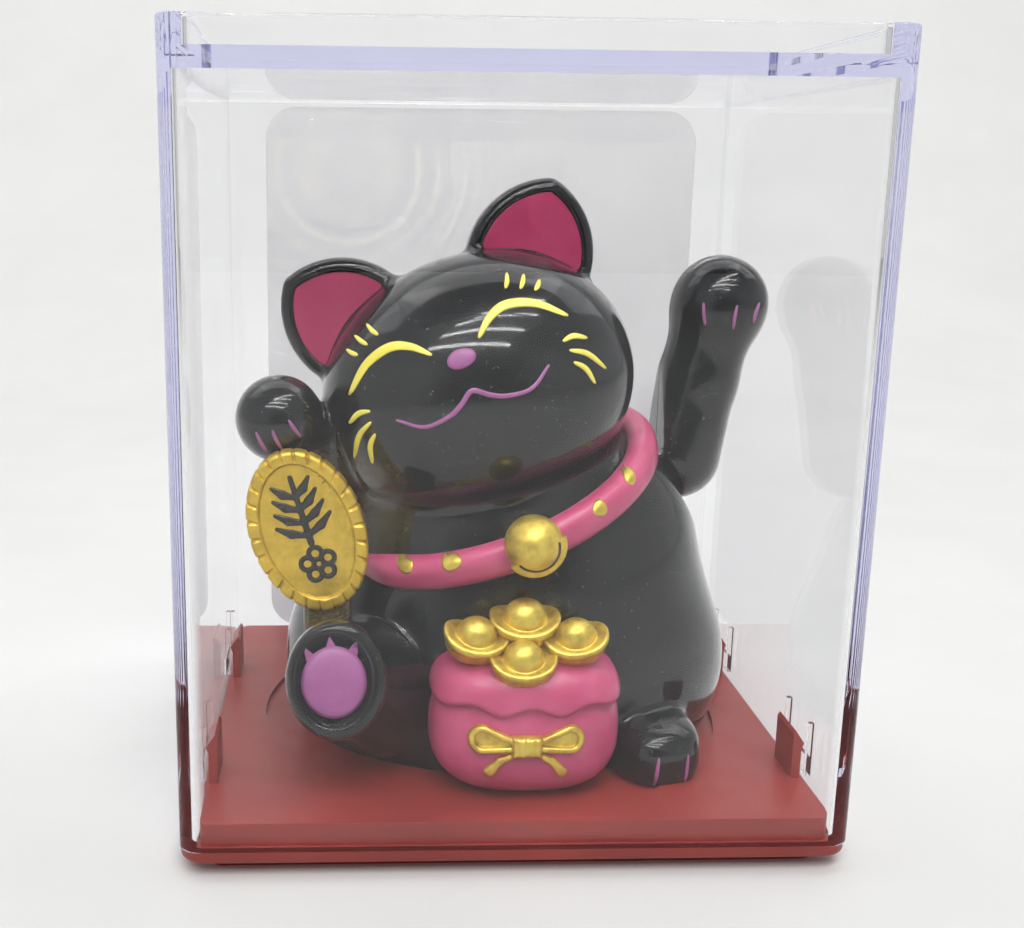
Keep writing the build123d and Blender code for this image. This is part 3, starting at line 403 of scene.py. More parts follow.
def plain_plastic(name, colour, roughness):
    m = Nodes(name)
    shell = m.shader(IOR=1.5)
    flow = m.ramp(m.noise(6.0), 0.35, 0.65)
    m.link(m.mix(flow, colour, tuple(c * 1.25 for c in colour)), shell.inputs["Base Color"])
    m.link(m.ramp(m.noise(2.0), 0.3, 0.7, roughness * 0.8, roughness * 1.2), shell.inputs["Roughness"])
    m.link(m.bump(m.noise(0.4, 3.0), 0.02), shell.inputs["Normal"])
    return m.material


def metal(name, colour, roughness, grain_mm=0.3):
    m = Nodes(name)
    surface = m.shader(Metallic=1.0)
    stain = m.ramp(m.noise(1.5, 4.0), 0.35, 0.65)
    m.link(m.mix(stain, colour, tuple(c * 0.8 for c in colour)), surface.inputs["Base Color"])
    wear = m.ramp(m.noise(grain_mm, 3.0), 0.3, 0.7, roughness * 0.7, roughness * 1.4)
    m.link(wear, surface.inputs["Roughness"])
    m.link(m.bump(m.noise(grain_mm, 3.0), 0.008), surface.inputs["Normal"])
    return m.material


def clear_plastic():
    """Clear polystyrene with a faint blue-lilac tint through its thickness. Light passes through it.

    The index is below the real plastic's 1.59, which keeps the front wall's reflection off the cat.
    """
    m = Nodes("clear_polystyrene")
    glass = m.node("ShaderNodeBsdfGlass", distribution="GGX")
    glass.inputs["IOR"].default_value = 1.34
    glass.inputs["Roughness"].default_value = 0.0
    glass.inputs["Color"].default_value = (1.0, 1.0, 1.0, 1.0)
    m.link(m.bump(m.noise(30.0, 1.0), 0.05, 0.5), glass.inputs["Normal"])
    through = m.node("ShaderNodeBsdfTransparent")
    through.inputs["Color"].default_value = (0.95, 0.955, 0.965, 1.0)
    choose = m.node("ShaderNodeMixShader")
    m.link(m.node("ShaderNodeLightPath").outputs["Is Shadow Ray"], choose.inputs[0])
    m.link(glass.outputs[0], choose.inputs[1])
    m.link(through.outputs[0], choose.inputs[2])
    m.link(choose.outputs[0], m.output.inputs["Surface"])
    tint = m.node("ShaderNodeVolumeAbsorption")
    tint.inputs["Color"].default_value = (0.62, 0.62, 0.96, 1.0)
    tint.inputs["Density"].default_value = 9.0
    m.link(tint.outputs[0], m.output.inputs["Volume"])
    return m.material


def label_film():
    """Pale translucent film, faintly cloudy, with no printing."""
    m = Nodes("label_film")
    film = m.shader(IOR=1.45, Roughness=0.45)
    cloud = m.ramp(m.noise(12.0), 0.35, 0.65)
    m.link(m.mix(cloud, (0.90, 0.89, 0.83), (0.94, 0.93, 0.87)), film.inputs["Base Color"])
    through = m.node("ShaderNodeBsdfTransparent")
    through.inputs["Color"].default_value = (1.0, 0.995, 0.97, 1.0)
    choose = m.node("ShaderNodeMixShader")
    choose.inputs[0].default_value = 0.45
    m.link(through.outputs[0], choose.inputs[1])
    m.link(film.outputs[0], choose.inputs[2])
    m.link(choose.outputs[0], m.output.inputs["Surface"])
    return m.material


CAD_MATERIALS = {
    red_plastic(): ["display_base", "battery_door"],
    clear_plastic(): ["clear_cover"],
    label_film(): ["rear_label"],
    plain_plastic("dark_plastic", (0.018, 0.018, 0.020), 0.45): [
        "battery_holder", "switch_body", "switch_knob", "transistor", "axle_stop_1", "axle_stop_2"],
    plain_plastic("natural_plastic", (0.62, 0.61, 0.57), 0.40): [
        "mechanism_frame", "coil_bobbin", "pendulum_lever"],
    plain_plastic("cell_wrap", (0.05, 0.07, 0.11), 0.25): ["battery_cell"],
    plain_plastic("capacitor_sleeve", (0.02, 0.03, 0.09), 0.30): ["capacitor"],
    plain_plastic("solder_resist", (0.018, 0.11, 0.035), 0.28): ["circuit_board"],
    metal("bright_steel", (0.58, 0.58, 0.59), 0.28): [
        "contact_plate", "contact_spring", "base_screws", "frame_screws", "shell_screws", "arm_axle",
        "counterweight", "magnet"],
    metal("turned_brass", (0.72, 0.50, 0.20), 0.25): ["axle_bush_1", "axle_bush_2"],
    metal("copper_wire", (0.62, 0.24, 0.09), 0.30): ["coil_winding"],
}
for material, names in CAD_MATERIALS.items():
    for name in names:
        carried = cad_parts[name]
        carried.data.materials.clear()
        carried.data.materials.append(material)
        for face in carried.data.polygons:
            face.material_index = 0


# =============================================================================================
# Camera, light and floor
# =============================================================================================
CAMERA_PLACE = (-25.144, -217.371, 101.631)
CAMERA_YAW, CAMERA_PITCH, CAMERA_ROLL = 0.0428, 0.2236, -0.0105
CAMERA_LENS = 45.39
CAMERA_SHIFT_X = 0.1074


def add_camera():
    flat = cos(CAMERA_PITCH)
    forward = Vector((sin(CAMERA_YAW) * flat, cos(CAMERA_YAW) * flat, -sin(CAMERA_PITCH)))
    level = Vector((cos(CAMERA_YAW), -sin(CAMERA_YAW), 0))
    down = forward.cross(level)
    right = cos(CAMERA_ROLL) * level + sin(CAMERA_ROLL) * down
    up = -(cos(CAMERA_ROLL) * down - sin(CAMERA_ROLL) * level)
    data = bpy.data.cameras.new("camera")
    data.sensor_width = 36.0
    data.lens = CAMERA_LENS
    data.shift_x = CAMERA_SHIFT_X
    data.clip_start = 0.01
    data.clip_end = 20.0
    camera = bpy.data.objects.new("camera", data)
    bpy.context.collection.objects.link(camera)
    turn = Matrix((right, up, -forward)).transposed().to_4x4()
    camera.matrix_world = Matrix.Translation(Vector(CAMERA_PLACE) * MM) @ turn
    bpy.context.scene.camera = camera


def add_light(name, place, target, size, power, colour=(1.0, 1.0, 1.0), size_y=None):
    """A soft rectangular light, placed in metres."""
    data = bpy.data.lights.new(name, "AREA")
    data.shape = "RECTANGLE"
    data.size = size
    data.size_y = size_y or size
    data.energy = power
    data.color = colour
    lamp = bpy.data.objects.new(name, data)
    bpy.context.collection.objects.link(lamp)
    lamp.location = place
    lamp.rotation_euler = (Vector(target) - Vector(place)).to_track_quat("-Z", "Y").to_euler()
    return lamp


def add_world():
    """Studio surroundings: pale behind and at the sides, dim overhead, dark in front of the case."""
    world = bpy.data.worlds.new("studio")
    bpy.context.scene.world = world
    world.use_nodes = True
    tree = world.node_tree
    place = tree.nodes.new("ShaderNodeTexCoord").outputs["Generated"]
    split = tree.nodes.new("ShaderNodeSeparateXYZ")
    tree.links.new(place, split.inputs[0])
    depth = tree.nodes.new("ShaderNodeMapRange")
    for key, number in (("From Min", -0.94), ("From Max", -0.78), ("To Min", 0.04), ("To Max", 0.58)):
        depth.inputs[key].default_value = number
    tree.links.new(split.outputs["Y"], depth.inputs["Value"])
    height = tree.nodes.new("ShaderNodeMapRange")
    for key, number in (("From Min", 0.35), ("From Max", 0.80), ("To Min", 1.0), ("To Max", 0.30)):
        height.inputs[key].default_value = number
    tree.links.new(split.outputs["Z"], height.inputs["Value"])
    both = tree.nodes.new("ShaderNodeMath")
    both.operation = "MULTIPLY"
    tree.links.new(depth.outputs["Result"], both.inputs[0])
    tree.links.new(height.outputs["Result"], both.inputs[1])
    backdrop = tree.nodes["Background"]
    backdrop.inputs["Color"].default_value = (0.97, 0.98, 1.0, 1.0)
    tree.links.new(both.outputs[0], backdrop.inputs["Strength"])


def add_floor():
    """A pale sheet that curves up behind the case."""
    half_width, front, back, curve, height, steps = 1.6, -1.2, 0.75, 0.45, 2.0, 16
    profile = [(front, 0.0), (back - curve, 0.0)]
    for i in range(1, steps + 1):
        turn = i / steps * pi / 2
        profile.append((back - curve + curve * sin(turn), curve - curve * cos(turn)))
    profile.append((back, height))
    verts = [(x, y, z) for y, z in profile for x in (-half_width, half_width)]
    faces = [(2 * i, 2 * i + 1, 2 * i + 3, 2 * i + 2) for i in range(len(profile) - 1)]
    mesh = bpy.data.meshes.new("floor")
    mesh.from_pydata(verts, [], faces)
    mesh.shade_smooth()
    floor = bpy.data.objects.new("floor", mesh)
    bpy.context.collection.objects.link(floor)
    m = Nodes("pale_paper")
    paper = m.shader(Roughness=0.75, IOR=1.4)
    pale = m.mix(m.ramp(m.noise(60.0), 0.35, 0.65), (0.82, 0.82, 0.815), (0.85, 0.85, 0.84))
    m.link(pale, paper.inputs["Base Color"])
    m.link(m.bump(m.noise(1.2, 4.0), 0.02), paper.inputs["Normal"])
    mesh.materials.append(m.material)


bpy.context.scene.view_settings.view_transform = "Standard"
# light crosses the thick clear edges only after many inner reflections
LIGHT_BOUNCES = 28
for limit in ("max_bounces", "glossy_bounces", "transmission_bounces"):
    setattr(bpy.context.scene.cycles, limit, LIGHT_BOUNCES)
add_camera()
add_world()
add_floor()
add_light("overhead", (0.0, 0.35, 0.95), (0.0, 0.12, 0.0), 1.2, 2.2, (1.0, 1.0, 0.99), 0.5)
add_light("backdrop_left", (-0.60, 0.30, 0.80), (-0.1, 0.75, 0.30), 0.6, 1.2)
add_light("backdrop_right", (0.60, 0.30, 0.80), (0.1, 0.75, 0.30), 0.6, 1.2)
STRIPS = [(-0.16, -0.70, 0.66), (-0.04, -0.60, 0.80), (0.08, -0.47, 0.93), (0.2, -0.32, 1.03)]
STRIP_LENGTH, STRIP_WIDTH, STRIP_POWER = 0.8, 0.04, 1.55
for number, place in enumerate(STRIPS, start=1):
    add_light(f"strip_{number}", place, (0.0, 0.0, 0.05), STRIP_LENGTH, STRIP_POWER, (1.0, 1.0, 0.98), STRIP_WIDTH)


# =============================================================================================
# Cat: the black moulding
# =============================================================================================
HEAD = Axes((-4.0, -8.0, 66.8), roll=21.0)
HEAD_RADII = (26.0, 22.0, 20.0)
COLLAR = Axes((-0.6, -4.0, 49.2), roll=21.0, pitch=-12.0)
PAW = (-36.0, -16.0, 63.3)
COIN = Axes((-31.4, -24.0, 47.3), roll=19.0)
SOLE = Axes((-26.8, -35.0, 27.2), pitch=15.0)
SHOULDER_FACE = ARM_INNER_X - 0.7
SHOULDER_RADIUS = 12.5
SHELL_WALL = 2.2
FOOT = Axes((23.5, -20.0, 10.9), yaw=-12.0)
EARS = {
    "right": Axes(HEAD.point(15.2, 16.6, -3.5), roll=-16.0),
    "left": Axes(HEAD.point(-15.2, 16.6, -3.5), roll=58.0),
}
EAR_HALF_WIDTH, EAR_ARC, EAR_TIP = 10.4, 14.0, 2.2
EAR_RIM, EAR_DISH = 2.3, 1.1


def core_field(p):
    """Torso and head, without limbs."""
    belly = ellipsoid(p, (2.5, -1.0, 19.0), (38.5, 27.5, 30.0))
    chest = ellipsoid(p, (3.0, -1.0, 42.0), (31.0, 23.5, 22.0))
    head = ellipsoid(HEAD.local(p), (0, 0, 0), HEAD_RADII)
    return join(join(belly, chest, 10.0), head, 2.0)


def ear_parts(p, axes):
    """Outline of an ear, distance along its thickness, and its half thickness."""
    u, v, w = axes.local(p)
    outline = np.maximum(ogive(u, v, EAR_HALF_WIDTH, EAR_ARC, EAR_TIP), -9.0 - v)
    return outline, w, 3.4 - 0.08 * np.clip(v, 0, 14)


def ear_field(p, axes):
    """An ear with a raised rim round a dished front."""
    outline, w, half = ear_parts(p, axes)
    solid = common(outline, np.abs(w) - half, 2.4)
    dish = np.maximum(outline + EAR_RIM, half - EAR_DISH - w)
    return cut(solid, dish, 0.9)


def with_sole(body, p):
    """Body with the upturned sole: a round end with a rim and a shallow recess."""
    u, v, w = SOLE.local(p)
    solid = common(oval(u, v, 7.7, 9.0), np.abs(w) - 3.2, 2.4)
    recess = np.maximum(oval(u + 0.4, v - 0.1, 5.6, 6.8), 1.7 - w)
    return cut(join(body, solid, 1.0), recess, 0.9)


def figure_field(p):
    body = core_field(p)
    body = join(body, bar(p, PAW, (-24.0, -5.0, 49.0), 5.6, 7.0), 2.5)
    body = join(body, ellipsoid(p, PAW, (6.9, 6.9, 6.9)), 1.2)
    body = join(body, bar(p, (-19.0, -18.0, 19.5), (-26.4, -29.0, 25.6), 11.5, 7.6), 1.6)
    body = with_sole(body, p)
    body = join(body, squircle(FOOT.local(p), (0, 0, 0), (7.3, 6.2, 12.2), 2.8), 1.6)
    body = join(body, block(p, (-28.3, -22.0, 34.6), (3.8, 3.0, 4.0), 1.0), 0.8)
    for axes in EARS.values():
        body = join(body, ear_field(p, axes), 1.4)
    from_axle = np.hypot(p[1] - SEAM_Y, p[2] - AXLE_Z)
    body = cut(body, np.maximum(from_axle - SHOULDER_RADIUS, SHOULDER_FACE - p[0]), 1.0)
    hollow = core_field(p) + SHELL_WALL
    shoulder = np.maximum(from_axle - SHOULDER_RADIUS - SHELL_WALL, SHOULDER_FACE - SHELL_WALL - p[0])
    hollow = cut(hollow, shoulder)
    body = cut(body, hollow)
    body = cut(body, np.maximum(from_axle - 1.8, -p[0]))
    return np.maximum(body, FLOOR - p[2])


def in_front(field):
    """The part of a field on the front side of the mould seam."""
    return lambda p: np.maximum(field(p), p[1] - SEAM_Y)


def behind(field):
    """The part of a field on the rear side of the mould seam."""
    return lambda p: np.maximum(field(p), SEAM_Y - p[1])


MERGE = 0.02  # how freely flat areas of a mesh are merged into larger faces
cat_front = mesh_from_field(
    "cat_body_front", in_front(figure_field), (-46, -42, 4), (45, 6, 104), 0.45, MERGE)
keep_piece(cat_front, "base", black, ["cat_front_shell"])
cat_rear = mesh_from_field(
    "cat_body_rear", behind(figure_field), (-40, 2, 4), (45, 32, 96), 0.6, MERGE)
keep_piece(cat_rear, "base", black, ["cat_rear_shell"])


# ---- Swinging arm ---------------------------------------------------------------------------
ARM_PAW = (38.8, SEAM_Y, ARM_TOP - 8.1)
ARM_WALL = 1.5


def arm_form(p):
    upper = bar(p, (35.7, SEAM_Y, 66.5), (38.0, SEAM_Y, 77.0), 6.8, 7.0)
    lower = bar(p, (32.5, SEAM_Y, 53.4), (35.7, SEAM_Y, 66.5), 7.9, 6.8)
    return join(join(upper, lower, 1.5), ellipsoid(p, ARM_PAW, (8.2, 8.2, 8.2)), 2.5)


def arm_field(p):
    solid = common(arm_form(p), ARM_INNER_X - p[0], 0.5)
    hollow = np.maximum(arm_form(p) + ARM_WALL, ARM_INNER_X + ARM_WALL - p[0])
    hollow = np.maximum(hollow, AXLE_Z + 5.0 - p[2])
    return cut(solid, hollow)


arm_box = (27.0, SEAM_Y - 11.0, 42.0), (49.0, SEAM_Y + 11.0, 91.0)
arm_front = mesh_from_field("arm_front", in_front(arm_field), *arm_box, 0.35, MERGE)
keep_piece(arm_front, "arm", black, ["arm_front_half"])
arm_rear = mesh_from_field("arm_rear", behind(arm_field), *arm_box, 0.35, MERGE)
keep_piece(arm_rear, "arm", black, ["arm_rear_half"])


# =============================================================================================
# Cat: painted mouldings
# =============================================================================================
def ear_lining(axes):
    """Filled floor of an ear's dish, hollowed a little towards the middle."""
    def field(p):
        outline, w, half = ear_parts(p, axes)
        top = half - EAR_DISH + 0.25 + 0.055 * np.clip(outline + 9.0, 0, 7)
        return np.maximum(common(outline + EAR_RIM - 0.25, w - top, 0.3), half - 2.2 - w)
    return field


for side, axes in EARS.items():
    middle = axes.point(0, 5.0)
    lining = mesh_from_field(f"ear_lining_{side}", ear_lining(axes), middle - 16, middle + 16, 0.3)
    keep_piece(lining, "base", crimson)


def collar_field(p):
    u, v, w = COLLAR.local(p)
    return ring((u, w, v), 26.2, 2.85, 2.5, 2.3, stretch=0.90)


collar = mesh_from_field("collar_band", collar_field, (-29, -34, 34), (31, 25, 66), 0.35, MERGE)
keep_piece(collar, "base", pink)

BELL = Axes((2.7, -31.6, 47.2), roll=32.0)


def bell_field(p):
    u, v, w = BELL.local(p)
    ball = np.sqrt(u * u + v * v + w * w) - 4.45
    around = np.hypot(u, v)
    lip = np.maximum(np.hypot(around - 4.2, w - 1.3) - 0.7, v + 0.9)
    slot = np.maximum(np.hypot(around - 3.6, w - 2.6) - 0.45, v + 0.8)
    return cut(join(ball, lip, 0.4), slot, 0.1)


bell = mesh_from_field("bell", bell_field, (-3.5, -37.5, 41), (8.5, -25.5, 53), 0.14, MERGE)
keep_piece(bell, "base", gold)


# ---- Money bag ------------------------------------------------------------------------------
BAG_X = 2.5


def sack_field(p):
    return squircle(p, (BAG_X, -26.3, 17.0), (15.0, 10.9, 10.5), 2.7)


def bag_field(p):
    across = p[0] - BAG_X
    edge = 22.2 + 0.65 * np.cos(2 * pi * across / 9.1) + 0.004 * across**2
    flap = squircle(p, (BAG_X, -26.3, 21.8), (15.0, 11.5, 8.2), 2.9)
    flap = common(flap, edge - p[2], 1.1)
    return np.maximum(join(sack_field(p), flap, 0.7), FLOOR - p[2])


bag = mesh_from_field("money_bag", bag_field, (-14, -39, 5.5), (19, -15, 32), 0.28, MERGE)
keep_piece(bag, "base", pink)


def bow_field(p):
    """Tied ribbon in relief on the front of the bag."""
    u, v = p[0] - 1.8, p[2] - 17.2
    side = np.abs(u)
    rise = sack_field(p)
    teardrop = bar2(side, v, (1.8, 0.1), (6.6, 0.9), 0.5, 1.75)
    loop = common(np.abs(teardrop) - 0.52, rise - 0.95, 0.6)
    web = np.maximum(teardrop, rise - 0.15)
    tail = bar2(side, v, (1.4, -1.2), (4.0, -2.6), 0.45, 0.6)
    tail = join(tail, bar2(side, v, (4.0, -2.6), (5.5, -4.5), 0.6, 0.9), 0.4)
    tail = common(tail, rise - 0.7, 0.6)
    knot_edge = np.maximum(side - 2.25, np.abs(v) - 1.65)
    knot = common(knot_edge, rise - 1.5 + 0.10 * np.cos(side * 4.5), 1.0)
    bow = join(join(loop, web), join(tail, knot, 0.3), 0.2)
    return np.maximum(bow, -rise - 0.6)


bow = mesh_from_field("bag_bow", bow_field, (-8, -40.5, 9.5), (11.5, -31, 22), 0.16, MERGE)
keep_piece(bow, "base", gold)


def ingot_field(axes, size):
    """Boat-shaped ingot: bowl with raised ends, rim band and dome."""
    def field(p):
        u, v, w = (c / np.float32(size) for c in axes.local(p))
        rim = -0.35 + 0.050 * u * u
        bowl = squircle((u, v, w), (0, 0.2, 0), (4.6, 4.9, 3.5), 2.3)
        under = common(bowl, v - rim, 0.5)
        band = common(bowl - 0.28, np.abs(v - rim + 0.7) - 0.62, 0.5)
        dome = ellipsoid((u, v, w), (0, 0.2, 0), (2.95, 2.6, 2.6))
        return join(join(under, band, 0.2), dome, 0.3) * size
    return field


INGOTS = [
    (Axes((-5.7, -32.6, 33.2), roll=-8.0, pitch=-20.0), 1.04),
    (Axes((1.8, -31.0, 35.3), pitch=-18.0), 1.12),
    (Axes((9.4, -32.6, 32.9), roll=7.0, pitch=-20.0), 1.04),
    (Axes((1.2, -35.0, 30.2), pitch=-20.0), 1.06),
]
INGOT_REACH = 6.6
for number, (axes, size) in enumerate(INGOTS, start=1):
    low, high = axes.origin - INGOT_REACH, axes.origin + INGOT_REACH
    ingot = mesh_from_field(f"ingot_{number}", ingot_field(axes, size), low, high, 0.18, MERGE)
    keep_piece(ingot, "base", gold)


# ---- Coin -----------------------------------------------------------------------------------
def coin_field(p):
    u, v, w = COIN.local(p)
    edge = oval(u, v, 8.9, 13.1)
    turn = np.arctan2(v / 13.1, u / 8.9)
    notch = np.clip(1.0 - np.abs(((turn * 26 / (2 * pi)) % 1.0) - 0.5) * 7.0, 0, 1)
    notch = notch * np.clip((edge + 2.0) / 0.8, 0, 1)
    solid = common(edge + 0.25 * notch, np.abs(w) - 1.8 + 0.4 * notch, 0.9)
    recess = np.maximum(edge + 2.1, 1.2 - w)
    return cut(solid, recess, 0.5)


coin = mesh_from_field("coin", coin_field, (-43, -27, 33), (-20, -21, 62), 0.2, MERGE)
keep_piece(coin, "base", coin_gold)


def motif_field(p):
    """Made-up coin decoration: a leafy sprig over a blossom."""
    u, v, w = COIN.local(p)
    mark = bar2(u, v, (0.0, -1.8), (0.3, 8.9), 0.55, 0.40)
    for pair in range(4):
        root = -0.6 + 2.1 * pair
        reach = 4.3 - 0.45 * pair
        for side in (-1, 1):
            bend = (side * reach * 0.55, root + 1.0)
            leaf = bar2(u, v, (0.0, root), bend, 0.40, 0.68)
            leaf = join(leaf, bar2(u, v, bend, (side * reach, root + 2.5), 0.68, 0.30), 0.3)
            mark = join(mark, leaf, 0.2)
    for petal in range(5):
        turn = 2 * pi * petal / 5 + pi / 2
        away = np.hypot(u - 1.75 * cos(turn), v + 5.4 - 1.75 * sin(turn))
        mark = join(mark, np.abs(away - 1.0) - 0.40, 0.1)
    rise = common(mark, w - 1.55, 0.3)
    return np.maximum(rise, 0.9 - w)


motif = mesh_from_field("coin_motif", motif_field, (-39, -26.5, 36), (-24, -22, 59), 0.15, MERGE)
keep_piece(motif, "base", ink)


# =============================================================================================
# Paint laid on the mouldings
# =============================================================================================
def smooth_path(points, count):
    """Evenly counted points on a smooth curve through the given ones."""
    points = np.array(points, float)
    ends = np.vstack([2 * points[0] - points[1], points, 2 * points[-1] - points[-2]])
    path = []
    for t in np.linspace(0, len(points) - 1, count):
        i = min(int(t), len(points) - 2)
        f = t - i
        a, b, c, d = ends[i:i + 4]
        square, cube = 2 * a - 5 * b + 4 * c - d, 3 * b - a - 3 * c + d
        path.append(0.5 * (2 * b + (c - a) * f + square * f**2 + cube * f**3))
    return np.array(path)


# across and up, as shares of a stroke's half width and height
STROKE_SECTION = [
    (-1.0, -0.05), (-0.75, 0.75), (-0.3, 1.0), (0.3, 1.0), (0.75, 0.75), (1.0, -0.05), (0.7, -2.0), (-0.7, -2.0)]


class Paint:
    """Raised strokes and patches of paint that follow the surface of a finished piece."""

    def __init__(self, name, piece):
        self.name = name
        mesh = piece.data
        places = [v.co / MM for v in mesh.vertices]
        self.tree = BVHTree.FromPolygons(places, [tuple(f.vertices) for f in mesh.polygons])
        self.verts, self.faces = [], []

    def drop(self, axes, u, v, lift):
        """Point of the surface seen from in front at (u, v), moved off it by lift."""
        place, normal, _, _ = self.tree.ray_cast(Vector(axes.point(u, v, 60.0)), Vector(-axes.forward))
        if place is None:
            place, normal, _, _ = self.tree.find_nearest(Vector(axes.point(u, v, 0.0)))
        return place + normal * lift

    def stroke(self, axes, points, width, height=0.16, taper=0.3, count=28):
        """A brush stroke through points, thickest in the middle."""
        path = smooth_path(points, count)
        runs = np.gradient(path, axis=0)
        sides = np.stack([-runs[:, 1], runs[:, 0]], axis=1) / np.linalg.norm(runs, axis=1)[:, None]
        first = len(self.verts)
        for i, (place, side) in enumerate(zip(path, sides)):
            swell = sin(pi * min(max(i / (count - 1), 0.0), 1.0)) ** 0.55
            half = width / 2 * (taper + (1 - taper) * swell)
            for across, up in STROKE_SECTION:
                u, v = place + side * half * across
                self.verts.append(self.drop(axes, u, v, up * height * (0.5 + 0.5 * swell)))
        size = len(STROKE_SECTION)
        for i in range(count - 1):
            for j in range(size):
                a, b = first + i * size + j, first + i * size + (j + 1) % size
                self.faces.append((a, a + size, b + size, b))
        self.faces.append(tuple(first + j for j in range(size)))
        self.faces.append(tuple(first + (count - 1) * size + j for j in reversed(range(size))))

    def patch(self, axes, centre, outline, height=0.16, rings=5):
        """A filled patch, domed a little; outline is a list of offsets from its centre."""
        first = len(self.verts)
        self.verts.append(self.drop(axes, *centre, height))
        levels = [(k / rings, sqrt(max(0.0, 1 - (k / rings) ** 2 * 0.98))) for k in range(1, rings + 1)]
        levels.append((0.93, -2.0))
        size = len(outline)
        for reach, up in levels:
            for du, dv in outline:
                u, v = centre[0] + du * reach, centre[1] + dv * reach
                self.verts.append(self.drop(axes, u, v, up * height))
        for j in range(size):
            nxt = (j + 1) % size
            self.faces.append((first, first + 1 + j, first + 1 + nxt))
            for k in range(len(levels) - 1):
                a, b = first + 1 + k * size + j, first + 1 + k * size + nxt
                self.faces.append((a, a + size, b + size, b))
        self.faces.append(tuple(first + 1 + (len(levels) - 1) * size + j for j in range(size)))

    def finish(self, body, material):
        mesh = bpy.data.meshes.new(self.name)
        mesh.from_pydata([tuple(v * MM) for v in self.verts], [], self.faces)
        build = bmesh.new()
        build.from_mesh(mesh)
        bmesh.ops.recalc_face_normals(build, faces=build.faces)
        build.to_mesh(mesh)
        build.free()
        mesh.shade_smooth()
        piece = bpy.data.objects.new(self.name, mesh)
        bpy.context.collection.objects.link(piece)
        return keep_piece(piece, body, material)


def rounded(half_u, half_v, wobble=0.0, seed=0, count=28):
    """Oval outline, uneven like a hand-painted dot when wobble is given."""
    marks = []
    for i in range(count):
        turn = 2 * pi * i / count
        reach = 1 + wobble * (sin(2 * turn + seed) + 0.6 * sin(3 * turn + 2.3 * seed))
        marks.append((half_u * reach * cos(turn), half_v * reach * sin(turn)))
    return marks


def mirrored(points, middle, side):
    """Face points given from the middle outwards, put on one side of the face."""
    return [(middle + side * u, v) for u, v in points]


FACE_MIDDLE = -1.5
EYE = [(3.7, 10.5), (6.4, 12.6), (9.6, 13.3), (13.8, 11.8), (17.8, 8.3)]
LASHES = [[(11.5, 17.2), (11.0, 16.2), (10.3, 15.4)], [(13.9, 16.1), (13.2, 15.2), (12.4, 14.5)],
          [(15.9, 14.5), (15.2, 13.9), (14.4, 13.5)]]
WHISKERS = [[(15.5, 5.3), (17.4, 5.3), (19.4, 4.1)], [(16.0, 3.7), (18.6, 1.9), (20.7, -1.5)],
            [(16.0, 1.8), (17.5, 0.0), (18.2, -2.8)]]
MOUTH = [(0.0, 3.7), (2.2, 2.3), (4.5, 1.2), (8.5, 0.8), (12.2, 3.0)]

yellow_face = Paint("eyes_and_whiskers", cat_front)
for side in (-1, 1):
    yellow_face.stroke(HEAD, mirrored(EYE, FACE_MIDDLE, side), 1.35, taper=0.25)
    for lash in LASHES:
        yellow_face.stroke(HEAD, mirrored(lash, FACE_MIDDLE, side), 0.75, count=12)
    for whisker in WHISKERS:
        yellow_face.stroke(HEAD, mirrored(whisker, FACE_MIDDLE, side), 0.85, count=18)
yellow_face.finish("base", yellow)

purple_face = Paint("nose_and_mouth", cat_front)
purple_face.patch(HEAD, (FACE_MIDDLE + 0.2, 8.6), rounded(2.2, 1.45, 0.03, 1), 0.22)
mouth = mirrored(MOUTH[:0:-1], FACE_MIDDLE, -1) + mirrored(MOUTH, FACE_MIDDLE, 1)
purple_face.stroke(HEAD, mouth, 0.85, taper=0.45, count=60)
purple_face.finish("base", purple)

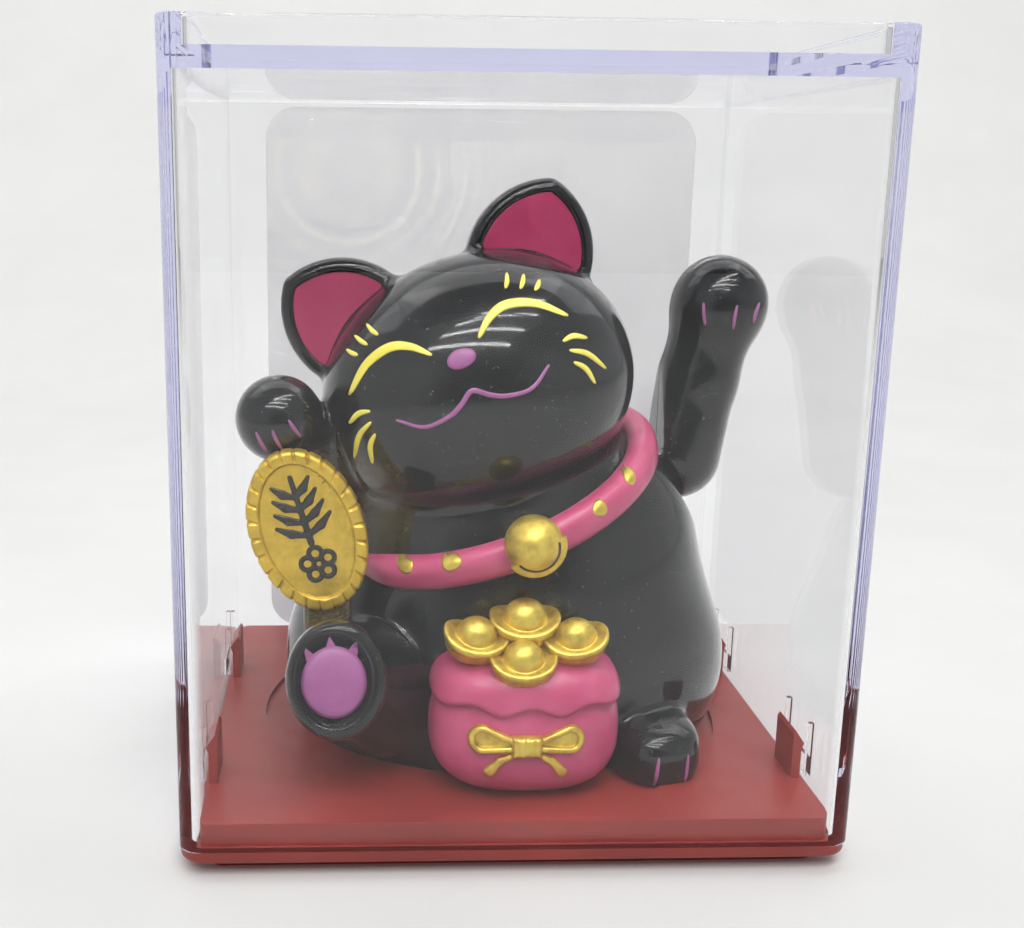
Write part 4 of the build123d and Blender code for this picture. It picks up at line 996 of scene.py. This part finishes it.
LEFT_PAW = Axes(PAW, yaw=-3.0, pitch=8.0)
claws = Paint("claw_lines", cat_front)
for start, end in (((-3.6, -1.8), (-1.8, -5.2)), ((-1.1, -1.5), (0.4, -4.6)), ((1.4, 0.1), (3.3, -2.6))):
    middle = ((start[0] + end[0]) / 2 - 0.15, (start[1] + end[1]) / 2)
    claws.stroke(LEFT_PAW, [start, middle, end], 0.6, taper=0.35, count=14)
for start, end in (((-2.6, 1.6), (-2.8, -3.4)), ((2.4, 1.6), (2.3, -3.0))):
    middle = ((start[0] + end[0]) / 2 - 0.1, (start[1] + end[1]) / 2)
    claws.stroke(FOOT, [start, middle, end], 0.6, taper=0.35, count=14)
claws.finish("base", purple)

SWINGING_PAW = Axes(ARM_PAW, yaw=16.0, pitch=5.0)
arm_claws = Paint("arm_claw_lines", arm_front)
for start, end in (((-2.6, 0.0), (-2.1, -3.7)), ((2.9, -0.2), (2.5, -4.2)), ((6.5, 0.3), (5.7, -3.2))):
    middle = ((start[0] + end[0]) / 2 - 0.1, (start[1] + end[1]) / 2)
    arm_claws.stroke(SWINGING_PAW, [start, middle, end], 0.6, taper=0.35, count=14)
arm_claws.finish("arm", purple)

pad = Paint("sole_pad", cat_front)
pad.patch(SOLE, (-0.4, -0.3), rounded(4.9, 5.4, count=48), 0.9, rings=9)
for foot_u, foot_v, tip_u, tip_v in ((-3.9, 3.3, -4.6, 4.9), (-0.9, 5.0, -1.1, 6.6), (2.5, 4.4, 2.9, 5.9)):
    across = Vector((tip_v - foot_v, foot_u - tip_u)).normalized() * 0.75
    inward = Vector((foot_u - tip_u, foot_v - tip_v)) * 0.6
    middle = ((2 * foot_u + tip_u) / 3, (2 * foot_v + tip_v) / 3)
    foot = Vector((foot_u, foot_v))
    corners = [Vector((tip_u, tip_v)), foot + across, foot + across + inward, foot - across + inward, foot - across]
    pad.patch(SOLE, middle, [(c.x - middle[0], c.y - middle[1]) for c in corners], 0.25, rings=3)
pad.finish("base", purple)

# Dark brown stroke along the bell's slot groove: painted shade in the recess, laid over the groove cut into the
# bell.
slot = Paint("bell_slot_painted_shade", bell)
arc = [(3.6 * cos(radians(a)), 3.6 * sin(radians(a))) for a in range(-162, -17, 12)]
slot.stroke(BELL, arc, 0.55, height=0.03, taper=0.6, count=50)
slot.finish("base", painted_slot_shade)

dots = Paint("collar_dots", collar)
COLLAR_DOTS = [
    (-16.2, 41.5, 1.25, 1.35), (-9.3, 43.0, 1.5, 1.35), (13.6, 51.2, 1.1, 1.4), (19.0, 55.2, 0.95, 1.3)]
for seed, (x, z, half_u, half_v) in enumerate(COLLAR_DOTS):
    dots.patch(Axes((x, -10.0, z), roll=21.0), (0.0, 0.0), rounded(half_u, half_v, 0.08, seed), 0.18)
dots.finish("base", gold)
